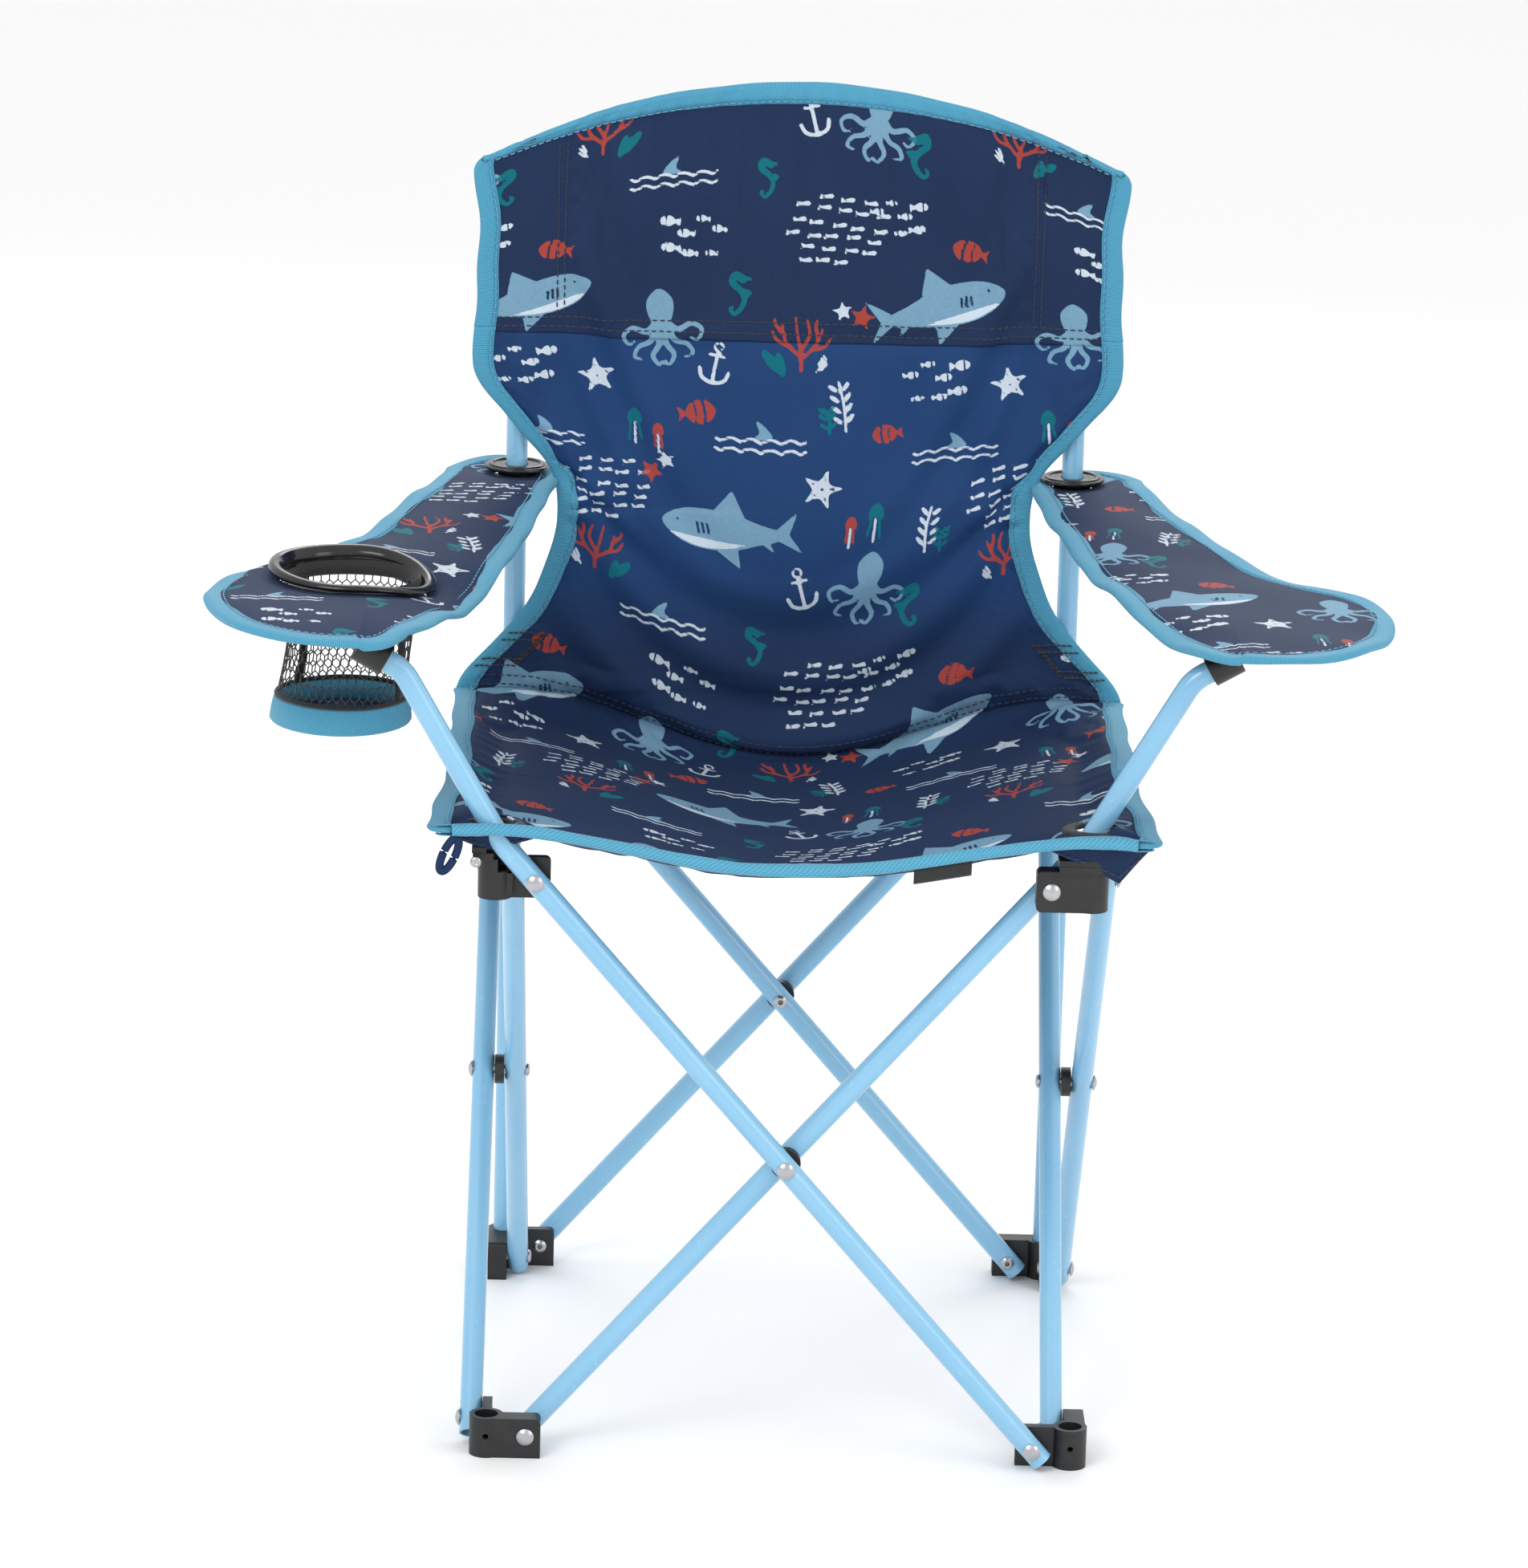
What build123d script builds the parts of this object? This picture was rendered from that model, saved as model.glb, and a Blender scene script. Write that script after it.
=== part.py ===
from build123d import *
import math
import os

os.makedirs("parts", exist_ok=True)

# Folding camp chair for a child, standing open on its four feet.
# +X is the sitter's left, +Y points to the back, +Z is up. The origin lies on the
# ground, in the middle of the chair's width and depth. All sizes are in millimetres.
# Names say left and right as seen by somebody who stands in front of the chair.

# ---- frame: driving dimensions
socket_span = 311.0  # between corner sockets, both ways
hub_rise = 307.3  # from the foot rivets up to the hub rivets
tube_d = 12.0
tube_wall = 1.0
tube_overrun = 9.0  # tube past its last rivet
pivot_reach = 21.0  # socket centre to rivet
foot_rivet_z = 12.0

# ---- moulded feet and hubs
foot_height = 22.0
socket_d = 18.0
socket_floor = 3.0
ear_t = 5.0
thick_ear_face = 8.2  # outer face of the ear that has its tube inside
ear_past_rivet = 8.0
ear_corner_r = 3.0
hub_half = 11.0  # hub height above and below its rivets
hub_notch_z = 4.0
hub_notch_start = 1.5
hub_plate_t = 3.7
hub_plate_out = 11.5
hub_plate_in = 17.5
hub_plate_setback = 0.8  # plate edge to the socket's axis, where a tube passes
hub_tab_w = 7.5
hub_tab_t = 4.0
hub_tab_drop = 9.3
hub_tab_top = 3.0

# ---- clearances
side_clearance = 0.3  # tube to ear, and tube to spacer
pin_clearance = 0.06  # rivet in its hole, on the radius
post_clearance = 0.3  # post in socket and hub sleeve, on the radius
cloth_clearance = 0.8  # soft parts to anything hard

# ---- rivets and screws
rivet_r = 2.5
rivet_head_r = 4.6
rivet_head_h = 2.3
rivet_rim_h = 0.5
rivet_tail_r = 3.7
rivet_tail_h = 1.6
rivet_bore_r = 1.5
screw_r = 1.5
screw_head_r = 3.2
screw_head_h = 1.8
screw_z = 12.0

# ---- crossings
spacer_r = 8.0

# ---- back posts
post_top_z = 640.0
cap_h = 4.0
cap_plug = 12.0
cap_wall_gap = 0.05

# ---- arm supports, the upper ends of the two front tubes
arm_knee_rise = 20.0
arm_lean = 30.0  # degrees from upright between knee and elbow
arm_tip_lean = 60.0  # degrees from upright above the elbow
arm_tip_length = 24.0
arm_knee_r = 40.0
arm_elbow_r = 22.0
arm_plate_t = 3.0
arm_plate_length = 50.0
arm_plate_width = 26.0
arm_boss_wall = 2.4
arm_boss_depth = 14.0

# ---- armrests
arm_rear_z = 466.0
arm_front_z = 453.0
arm_pad_t = 5.0
arm_front_overhang = 46.0
arm_rear_overhang = 32.0
grommet_r = 18.0
grommet_flange_t = 2.2
grommet_neck_r = 10.5
grommet_post_gap = 0.5

# ---- cup holder in one armrest
cup_centre_out = 80.0  # outboard of the post
cup_centre_front = 226.0  # in front of the post
cup_rim_r = 44.0
cup_throat_r = 36.0
cup_rim_t = 4.0
cup_wall = 1.6
basket_top_r = 33.5
basket_low_r = 35.0
basket_depth = 78.0
basket_band = 14.0
basket_band_step = 1.2

# ---- sling
cloth_t = 3.0
sling_half = 187.0
back_shoulder_half = 178.0
back_waist_half = 131.0
back_corner_z = 648.0
back_top_z = 690.0
back_hem_z = 551.0
sleeve_wall = 2.6
sleeve_gap = 0.9
seat_corner_z = 343.0
seat_front_corner_z = 348.0
seat_sag = 22.0
seat_flat = 37.0  # flat width at each side, before the sag
seat_front_overhang = 20.0
corner_pad_t = 3.0
corner_pad_grow = 0.5
corner_pad_setback = 4.5

# ---- derived values
half_span = socket_span / 2
depth_shift = (arm_front_overhang - arm_rear_overhang) / 2
front_row = depth_shift - half_span
back_row = depth_shift + half_span
pivot_half = half_span - pivot_reach
hub_rivet_z = foot_rivet_z + hub_rise
crossing_z = foot_rivet_z + hub_rise / 2
tube_lean = math.atan2(2 * pivot_half, hub_rise)
tube_r = tube_d / 2
tube_offset = ear_t / 2 + side_clearance + tube_r
tube_face = tube_offset + tube_r
pin_hole_r = rivet_r + pin_clearance
post_hole_r = tube_r + post_clearance
ear_length = pivot_reach + ear_past_rivet

# the armrests' slope, the plates under their fronts, and the tube tips that carry them
arm_reach = socket_span + arm_front_overhang
arm_slope = math.degrees(math.atan2(arm_rear_z - arm_front_z, arm_reach))
arm_plate_top = (
    arm_rear_z
    - (socket_span + tube_offset) * math.tan(math.radians(arm_slope))
    - arm_pad_t / 2
    - 2 * side_clearance
)
boss_r = tube_r + arm_boss_wall
tip_lean = math.radians(arm_tip_lean)
tip_z = arm_plate_top - arm_plate_t / 2 - boss_r * math.sin(tip_lean)
elbow_z = tip_z - arm_tip_length * math.cos(tip_lean)
knee_z = hub_rivet_z + arm_knee_rise
knee_x = pivot_half + arm_knee_rise * math.tan(tube_lean)
elbow_x = knee_x + (elbow_z - knee_z) * math.tan(math.radians(arm_lean))
tip_x = elbow_x + arm_tip_length * math.sin(tip_lean)

corner_names = ["front_left", "front_right", "rear_right", "rear_left"]
side_names = ["front", "right", "rear", "left"]


def turned(quarter):
    """Unit vectors along a side and out of it, after quarter turns about Z."""
    angle = math.radians(90 * quarter)
    along = Vector(math.cos(angle), math.sin(angle), 0)
    outward = Vector(math.sin(angle), -math.cos(angle), 0)
    return along, outward


def side_location(quarter):
    """Local x runs along the side, y is up and z points out of the chair."""
    along, outward = turned(quarter)
    centre = Vector(0, depth_shift, 0) + outward * half_span
    return Plane(origin=centre, x_dir=along, z_dir=outward).location


def corner_location(quarter, height):
    """Local x and y run along the two sides that meet at the socket."""
    along, outward = turned(quarter)
    centre = Vector(0, depth_shift, height) + outward * half_span - along * half_span
    return Plane(origin=centre, x_dir=along, z_dir=(0, 0, 1)).location


def finish(part, name):
    part.label = name
    export_step(part, f"parts/{name}.step")


# ---- foot moulding: a socket with two ears. The ear along x is thick, because its tube
# lies inside the chair, and the ear along y is thin, because its tube lies outside.
with BuildPart() as foot_moulding:
    Cylinder(socket_d / 2, foot_height, align=(Align.CENTER, Align.CENTER, Align.MIN))
    with BuildSketch(Plane.XZ.offset(-ear_t / 2)):
        RectangleRounded(2 * ear_length, 2 * foot_height, ear_corner_r)
        with Locations((-ear_length, 0)):
            Rectangle(2 * ear_length, 4 * foot_height, mode=Mode.SUBTRACT)
        with Locations((0, -foot_height)):
            Rectangle(4 * ear_length, 2 * foot_height, mode=Mode.SUBTRACT)
    extrude(amount=ear_t / 2 + thick_ear_face)
    with BuildSketch(Plane.YZ.offset(-ear_t / 2)):
        RectangleRounded(2 * ear_length, 2 * foot_height, ear_corner_r)
        with Locations((-ear_length, 0)):
            Rectangle(2 * ear_length, 4 * foot_height, mode=Mode.SUBTRACT)
        with Locations((0, -foot_height)):
            Rectangle(4 * ear_length, 2 * foot_height, mode=Mode.SUBTRACT)
    extrude(amount=ear_t)
    with Locations((0, 0, socket_floor)):
        Cylinder(
            post_hole_r,
            foot_height,
            align=(Align.CENTER, Align.CENTER, Align.MIN),
            mode=Mode.SUBTRACT,
        )
    for wall in (Plane.XZ, Plane.YZ.rotated((0, 0, 180))):
        with Locations(wall.offset(socket_d / 2)):
            with Locations((0, screw_z)):
                Cylinder(screw_r + pin_clearance, socket_d, mode=Mode.SUBTRACT)
    with Locations(Plane.XZ):
        with Locations((pivot_reach, foot_rivet_z)):
            Cylinder(pin_hole_r, 4 * thick_ear_face, mode=Mode.SUBTRACT)
    with Locations(Plane.YZ):
        with Locations((pivot_reach, foot_rivet_z)):
            Cylinder(pin_hole_r, 4 * ear_t, mode=Mode.SUBTRACT)

for quarter, corner in enumerate(corner_names):
    with BuildPart() as foot:
        with Locations(corner_location(quarter, 0)):
            add(foot_moulding.part)
    finish(foot.part, f"foot_{corner}")


# ---- hub moulding under each seat corner: a sleeve with two ears, a top plate that the
# seat corner lies on, and a hooked tab. Here the thin ear is along x.
def hub_plate_outline(grow, setback):
    """The top plate stops short of the two tubes that pass beside it."""
    inner = ear_t / 2 - side_clearance
    with Locations((-hub_plate_out - grow, -inner)):
        Rectangle(
            hub_plate_out + grow + inner, inner + hub_plate_in + grow, align=(Align.MIN, Align.MIN)
        )
    with Locations((-hub_plate_out - grow, -hub_plate_out - grow)):
        Rectangle(
            hub_plate_out + grow - setback,
            hub_plate_out + grow - inner + 1,
            align=(Align.MIN, Align.MIN),
        )


with BuildPart() as hub_moulding:
    Cylinder(socket_d / 2, 2 * hub_half)
    with BuildSketch(Plane.XZ.offset(-ear_t / 2)):
        RectangleRounded(2 * ear_length, 2 * hub_half, ear_corner_r)
        with Locations((-ear_length, 0)):
            Rectangle(2 * ear_length, 4 * hub_half, mode=Mode.SUBTRACT)
    extrude(amount=ear_t)
    with BuildSketch(Plane.YZ.offset(-thick_ear_face)):
        RectangleRounded(2 * ear_length, 2 * hub_half, ear_corner_r)
        with Locations((-ear_length, 0)):
            Rectangle(2 * ear_length, 4 * hub_half, mode=Mode.SUBTRACT)
    extrude(amount=thick_ear_face + ear_t / 2)
    # two notches let the arm tubes pass over the sleeve
    with Locations((ear_t / 2, ear_t / 2, hub_notch_z), (hub_notch_start, -3 * ear_t / 2 - ear_t, hub_notch_z)):
        Box(
            socket_d / 2,
            2 * ear_t,
            hub_half,
            align=(Align.MIN, Align.MIN, Align.MIN),
            mode=Mode.SUBTRACT,
        )
    with BuildSketch(Plane.XY.offset(hub_half)):
        hub_plate_outline(0, hub_plate_setback)
    extrude(amount=hub_plate_t)
    with Locations((hub_tab_w / 4, -ear_t / 2, -hub_tab_drop)):
        Box(
            hub_tab_w,
            hub_tab_t,
            hub_tab_drop + hub_tab_top,
            align=(Align.MIN, Align.MAX, Align.MIN),
        )
    Cylinder(post_hole_r, 4 * hub_half, mode=Mode.SUBTRACT)
    with Locations(Plane.XZ):
        with Locations((pivot_reach, 0)):
            Cylinder(pin_hole_r, 4 * ear_t, mode=Mode.SUBTRACT)
    with Locations(Plane.YZ):
        with Locations((pivot_reach, 0)):
            Cylinder(pin_hole_r, 4 * thick_ear_face, mode=Mode.SUBTRACT)

for quarter, corner in enumerate(corner_names):
    with BuildPart() as hub:
        with Locations(corner_location(quarter, hub_rivet_z)):
            add(hub_moulding.part)
    finish(hub.part, f"hub_{corner}")


# ---- scissor tubes. On each side the inner tube rises along local +x and the outer tube
# along local -x. The two front tubes go on past their hubs to carry the armrests.
def scissor_tube(heading, arm):
    """A tube in a side's own frame. heading is +1 for the inner tube, -1 for the outer."""
    lean_x = math.sin(tube_lean)
    lean_z = math.cos(tube_lean)
    offset = -heading * tube_offset
    foot_end = (
        -heading * (pivot_half + tube_overrun * lean_x),
        foot_rivet_z - tube_overrun * lean_z,
        offset,
    )
    corners = [foot_end]
    if arm:
        corners += [
            (heading * knee_x, knee_z, offset),
            (heading * elbow_x, elbow_z, offset),
            (heading * tip_x, tip_z, offset),
        ]
    else:
        corners.append(
            (
                heading * (pivot_half + tube_overrun * lean_x),
                hub_rivet_z + tube_overrun * lean_z,
                offset,
            )
        )
    with BuildPart() as tube:
        with BuildLine() as path:
            if arm:
                FilletPolyline(*corners, radius=[arm_knee_r, arm_elbow_r])
            else:
                Line(*corners)
        route = path.wires()[0]
        with BuildSketch(Plane(origin=route @ 0, x_dir=(0, 0, 1), z_dir=route % 0)):
            Circle(tube_r)
            Circle(tube_r - tube_wall, mode=Mode.SUBTRACT)
        sweep(path=route)
        with Locations(
            (-heading * pivot_half, foot_rivet_z, offset),
            (0, crossing_z, offset),
            (heading * pivot_half, hub_rivet_z, offset),
        ):
            Cylinder(pin_hole_r, 2 * tube_d, mode=Mode.SUBTRACT)
    return tube.part


for quarter, side in enumerate(side_names):
    for heading, place in ((1, "inner"), (-1, "outer")):
        shape = scissor_tube(heading, side == "front")
        with BuildPart() as tube:
            with Locations(side_location(quarter)):
                add(shape)
        finish(tube.part, f"tube_{side}_{place}")


# ---- rivets: a domed head, a hollow shank and a rolled tail
def rivet(head_z, tail_z):
    """A rivet along local z, with its head's seat at head_z and its tail's at tail_z."""
    rim_z = head_z + rivet_rim_h
    dome_h = rivet_head_h - rivet_rim_h
    dome_r = (rivet_head_r**2 + dome_h**2) / (2 * dome_h)
    half_angle = math.asin(rivet_head_r / dome_r) / 2
    dome_middle = (
        dome_r * math.sin(half_angle),
        head_z + rivet_head_h - dome_r * (1 - math.cos(half_angle)),
    )
    with BuildPart() as pin:
        with BuildSketch(Plane.XZ):
            with BuildLine():
                Polyline(
                    (0, head_z + rivet_head_h),
                    (0, tail_z + rivet_tail_h),
                    (rivet_bore_r, tail_z),
                    (rivet_bore_r, tail_z - rivet_tail_h),
                    (rivet_r, tail_z - rivet_tail_h),
                    (rivet_tail_r, tail_z - rivet_tail_h / 2),
                    (rivet_tail_r, tail_z),
                    (rivet_r, tail_z),
                    (rivet_r, head_z),
                    (rivet_head_r, head_z),
                    (rivet_head_r, rim_z),
                )
                ThreePointArc((rivet_head_r, rim_z), dome_middle, (0, head_z + rivet_head_h))
            make_face()
        revolve(axis=Axis.Z)
    return pin.part


tube_seat = tube_face + side_clearance / 3
inner_rivet = rivet(thick_ear_face, -tube_seat)
outer_rivet = rivet(tube_seat, -ear_t / 2)
crossing_rivet = rivet(tube_seat, -tube_seat)

for kind, height, first, second in (
    ("foot", foot_rivet_z, inner_rivet, outer_rivet),
    ("hub", hub_rivet_z, outer_rivet, inner_rivet),
):
    for quarter, corner in enumerate(corner_names):
        with BuildPart() as pair:
            with Locations(side_location(quarter) * Location((-pivot_half, height, 0))):
                add(first)
            with Locations(side_location((quarter + 3) % 4) * Location((pivot_half, height, 0))):
                add(second)
        finish(pair.part, f"rivets_{kind}_{corner}")

for quarter, side in enumerate(side_names):
    with BuildPart() as pin:
        with Locations(side_location(quarter) * Location((0, crossing_z, 0))):
            add(crossing_rivet)
    finish(pin.part, f"rivet_crossing_{side}")
    with BuildPart() as spacer:
        with Locations(side_location(quarter) * Location((0, crossing_z, 0))):
            Cylinder(spacer_r, ear_t)
            Cylinder(pin_hole_r, 2 * ear_t, mode=Mode.SUBTRACT)
    finish(spacer.part, f"spacer_{side}")

# ---- back posts with their caps and fixing screws
for hand, name in ((-1, "left"), (1, "right")):
    post_x = hand * half_span
    with BuildPart() as post:
        with BuildSketch(Plane.XY.offset(socket_floor)):
            with Locations((post_x, back_row)):
                Circle(tube_r)
                Circle(tube_r - tube_wall, mode=Mode.SUBTRACT)
        extrude(amount=post_top_z - socket_floor)
        with Locations(Plane.XZ.offset(-back_row - tube_r)):
            with Locations((post_x, screw_z)):
                Cylinder(screw_r + pin_clearance, tube_d, mode=Mode.SUBTRACT)
    finish(post.part, f"post_{name}")

    with BuildPart() as cap:
        with BuildSketch(Plane.XY.offset(post_top_z - cap_plug)):
            with Locations((post_x, back_row)):
                Circle(tube_r - tube_wall - cap_wall_gap)
        extrude(amount=cap_plug)
        with BuildSketch(Plane.XY.offset(post_top_z)):
            with Locations((post_x, back_row)):
                Circle(tube_r)
        extrude(amount=cap_h)
        fillet(cap.edges().group_by(Axis.Z)[-1], cap_h * 0.6)
    finish(cap.part, f"post_cap_{name}")

    with BuildPart() as screw:
        seat_y = back_row + socket_d / 2
        with BuildSketch(Plane.XZ.offset(-seat_y)):
            with Locations((post_x, screw_z)):
                Circle(screw_r)
        extrude(amount=socket_d / 2 - tube_r + 3 * tube_wall)
        with BuildSketch(Plane.XZ.offset(-seat_y)):
            with Locations((post_x, screw_z)):
                Circle(screw_head_r)
        extrude(amount=-screw_head_h)
        fillet(screw.faces().sort_by(Axis.Y)[-1].edges(), screw_head_h * 0.7)
    finish(screw.part, f"post_screw_{name}")

# ---- armrests. Their plane falls a little from the post to the front edge.
arm_outline_reach = 357.0  # the points in arm_points run this far forward
arm_scale = arm_reach / arm_outline_reach


def arm_plane(height):
    """The armrest's mid-plane, with its origin between the posts, raised by height."""
    return Plane(
        origin=(0, back_row, arm_rear_z),
        x_dir=(1, 0, 0),
        z_dir=(0, -math.sin(math.radians(arm_slope)), math.cos(math.radians(arm_slope))),
    ).offset(height)


def arm_points(hand):
    """Outline from the rear end round the outboard edge, the front and the inboard edge."""
    shape = [
        (40, -6), (50, -40), (80, -133), (112, -190), (143, -228), (153, -262), (150, -298),
        (134, -330), (108, -350), (82, -357), (60, -350), (45, -325), (23, -265), (2, -175),
        (-9, -110), (-22, -6),
    ]
    return [(hand * (half_span + out), along * arm_scale) for out, along in shape]


cup_x = -(half_span + cup_centre_out)
cup_y = -cup_centre_front * arm_scale
for hand, name in ((-1, "left"), (1, "right")):
    points = arm_points(hand)
    with BuildPart() as armrest:
        with BuildSketch(arm_plane(-arm_pad_t / 2)):
            with BuildLine():
                Spline(*points)
                ThreePointArc(
                    points[-1], (hand * (half_span + 9), arm_rear_overhang), points[0]
                )
            make_face()
            with Locations((hand * half_span, 0)):
                Circle(grommet_neck_r + cloth_clearance, mode=Mode.SUBTRACT)
            if name == "left":
                with Locations((cup_x, cup_y)):
                    Circle(cup_throat_r + cup_wall + cloth_clearance, mode=Mode.SUBTRACT)
        extrude(amount=arm_pad_t)
    finish(armrest.part, f"armrest_{name}")

    with BuildPart() as grommet:
        gap = side_clearance
        seat = arm_pad_t / 2 + gap
        slope_room = grommet_r * math.tan(math.radians(arm_slope)) + seat
        with Locations((hand * half_span, back_row, arm_rear_z)):
            Cylinder(grommet_neck_r, 2 * slope_room)
            with Locations((0, 0, slope_room), (0, 0, -slope_room - grommet_flange_t)):
                Cylinder(
                    grommet_r, grommet_flange_t, align=(Align.CENTER, Align.CENTER, Align.MIN)
                )
            Cylinder(tube_r + grommet_post_gap, 8 * seat, mode=Mode.SUBTRACT)
        rims = grommet.edges().filter_by(GeomType.CIRCLE).group_by(SortBy.RADIUS)[-1]
        fillet(rims, grommet_flange_t * 0.4)
    finish(grommet.part, f"grommet_{name}")

# ---- plate and boss under each armrest's front, on the tip of its tube
for hand, name, offset in ((-1, "left", tube_offset), (1, "right", -tube_offset)):
    tip = Vector(hand * tip_x, front_row - offset, tip_z)
    along = Vector(hand * math.sin(tip_lean), 0, math.cos(tip_lean))
    with BuildPart() as holder:
        with BuildSketch(Plane.XY.offset(arm_plate_top - arm_plate_t)):
            with Locations((tip.X, tip.Y)):
                RectangleRounded(arm_plate_length, arm_plate_width, arm_plate_width / 4)
        extrude(amount=arm_plate_t)
        with BuildSketch(Plane(origin=tip + along * arm_boss_wall, z_dir=along)):
            Circle(boss_r)
        extrude(amount=-arm_boss_depth - arm_boss_wall)
        with BuildSketch(Plane(origin=tip, z_dir=along)):
            Circle(tube_r + cap_wall_gap)
        extrude(amount=-2 * arm_boss_depth, mode=Mode.SUBTRACT)
        with Locations((tip.X, tip.Y, arm_plate_top)):
            Box(
                2 * arm_plate_length,
                2 * arm_plate_width,
                arm_plate_t,
                align=(Align.CENTER, Align.CENTER, Align.MIN),
                mode=Mode.SUBTRACT,
            )
    finish(holder.part, f"arm_plate_{name}")

# ---- cup holder: a rim that clips through the armrest, and an open basket below it
rim_base = arm_pad_t / 2 + side_clearance
with BuildPart() as rim:
    with BuildSketch(arm_plane(rim_base)):
        with Locations((cup_x, cup_y)):
            Circle(cup_rim_r)
            Circle(cup_throat_r, mode=Mode.SUBTRACT)
    extrude(amount=cup_rim_t)
    fillet(rim.edges().group_by(Axis.Z)[-1], cup_rim_t * 0.4)
    with BuildSketch(arm_plane(rim_base)):
        with Locations((cup_x, cup_y)):
            Circle(cup_throat_r + cup_wall)
            Circle(cup_throat_r, mode=Mode.SUBTRACT)
    extrude(amount=-2 * rim_base - cup_rim_t)
finish(rim.part, "cup_rim")

cup_axis = arm_plane(0).from_local_coords(Vector(cup_x, cup_y, 0))
basket_top = cup_axis.Z + arm_pad_t / 2
with BuildPart() as basket:
    with BuildSketch(Plane.XZ):
        with BuildLine():
            Polyline(
                (0, 0),
                (basket_low_r + basket_band_step, 0),
                (basket_low_r + basket_band_step, basket_band),
                (basket_low_r, basket_band),
                (basket_top_r + cup_wall, basket_depth),
                (basket_top_r, basket_depth),
                (basket_low_r - cup_wall, basket_band),
                (basket_low_r - cup_wall, cup_wall),
                (0, cup_wall),
                close=True,
            )
        make_face()
    revolve(axis=Axis.Z)
with BuildPart() as placed_basket:
    with Locations((cup_axis.X, cup_axis.Y, basket_top - basket_depth)):
        add(basket.part)
finish(placed_basket.part, "cup_basket")

# ---- sling, upper back: a double layer with a sleeve for each post
panel_back = back_row - tube_r - sleeve_gap
panel_front = panel_back - sleeve_wall
sleeve_r = tube_r + sleeve_gap + sleeve_wall
with BuildPart() as upper_back:
    with BuildSketch(Plane.XZ.offset(-panel_back)):
        with BuildLine():
            Polyline(
                (-sling_half + 7, back_corner_z),
                (-back_shoulder_half, back_hem_z),
                (back_shoulder_half, back_hem_z),
                (sling_half - 7, back_corner_z),
            )
            ThreePointArc(
                (sling_half - 7, back_corner_z), (0, back_top_z), (-sling_half + 7, back_corner_z)
            )
        make_face()
    extrude(amount=sleeve_wall)
    with BuildSketch(Plane.XY.offset(back_hem_z)):
        with Locations((-half_span, back_row), (half_span, back_row)):
            Circle(sleeve_r)
    extrude(amount=post_top_z + cap_h + 3 - back_hem_z)
    with BuildSketch(Plane.XY.offset(back_hem_z)):
        with Locations((-half_span, back_row), (half_span, back_row)):
            Circle(tube_r + sleeve_gap)
    extrude(amount=post_top_z + cap_h + 1 - back_hem_z, mode=Mode.SUBTRACT)
finish(upper_back.part, "back_upper")

# ---- sling, lower back: one layer in front of the posts, drawn in at the waist
back_foot_z = seat_corner_z + cloth_t
waist_z = (back_hem_z + back_foot_z) / 2
with BuildPart() as lower_back:
    with BuildSketch(Plane.XZ.offset(-panel_back)):
        with BuildLine():
            for hand in (-1, 1):
                Spline(
                    (hand * back_shoulder_half, back_hem_z - cloth_clearance),
                    (hand * (back_waist_half + 31), waist_z + 56),
                    (hand * (back_waist_half + 2), waist_z + 20),
                    (hand * (back_waist_half + 2), waist_z - 20),
                    (hand * (back_waist_half + 31), waist_z - 72),
                    (hand * sling_half, back_foot_z),
                )
            Line(
                (-back_shoulder_half, back_hem_z - cloth_clearance),
                (back_shoulder_half, back_hem_z - cloth_clearance),
            )
            Line((-sling_half, back_foot_z), (sling_half, back_foot_z))
        make_face()
    extrude(amount=sleeve_wall)
finish(lower_back.part, "back_lower")

# ---- seat: two halves that sag between their corners and meet at the middle crease
seat_front = front_row - seat_front_overhang
seat_rear = panel_front - 2 * cloth_clearance - 3
seat_middle = (seat_front + seat_rear) / 2
seat_pitch = (seat_front_corner_z - seat_corner_z) / (seat_rear - seat_front)


def seat_edge(corner_z):
    """The sagging line across the seat, flat near both corners."""
    taut = sling_half - seat_flat
    Line((-sling_half, corner_z), (-taut, corner_z))
    Spline(
        (-taut, corner_z), (0, corner_z - seat_sag), (taut, corner_z), tangents=[(1, 0), (1, 0)]
    )
    Line((taut, corner_z), (sling_half, corner_z))


knee_line = [
    (hand * (pivot_half + rise * math.tan(tube_lean)), front_row - offset, hub_rivet_z + rise)
    for hand, offset in ((-1, tube_offset), (1, -tube_offset))
    for rise in (0, 2 * arm_knee_rise)
]
for name, start, end in (
    ("seat_front", seat_front, seat_middle - cloth_clearance / 2),
    ("seat_rear", seat_middle + cloth_clearance / 2, seat_rear),
):
    level = seat_corner_z + (seat_rear - end) * seat_pitch
    with BuildPart() as seat:
        with BuildSketch(Plane.XZ.offset(-end)):
            with BuildLine():
                seat_edge(level)
                seat_edge(level - cloth_t)
                for hand in (-1, 1):
                    Line((hand * sling_half, level - cloth_t), (hand * sling_half, level))
            make_face()
        extrude(amount=end - start, dir=(0, -1, seat_pitch))
        if name == "seat_front":
            for low, high in (knee_line[:2], knee_line[2:]):
                route = Vector(high) - Vector(low)
                with BuildSketch(Plane(origin=low, z_dir=route)):
                    Circle(tube_r + 3 * cloth_clearance)
                extrude(amount=route.length, mode=Mode.SUBTRACT)
    finish(seat.part, name)

# ---- reinforced seat corners, one on each hub plate
pad_z = hub_rivet_z + hub_half + hub_plate_t + side_clearance
for quarter, corner in enumerate(corner_names):
    with BuildPart() as pad:
        with BuildSketch():
            hub_plate_outline(corner_pad_grow, corner_pad_setback)
            if corner.startswith("rear"):
                Circle(post_hole_r + cloth_clearance, mode=Mode.SUBTRACT)
        extrude(amount=corner_pad_t)
    with BuildPart() as placed_pad:
        with Locations(corner_location(quarter, pad_z)):
            add(pad.part)
    finish(placed_pad.part, f"corner_pad_{corner}")
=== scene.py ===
import bmesh
import bpy
import math
import numpy as np
from mathutils import Matrix, Vector


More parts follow.
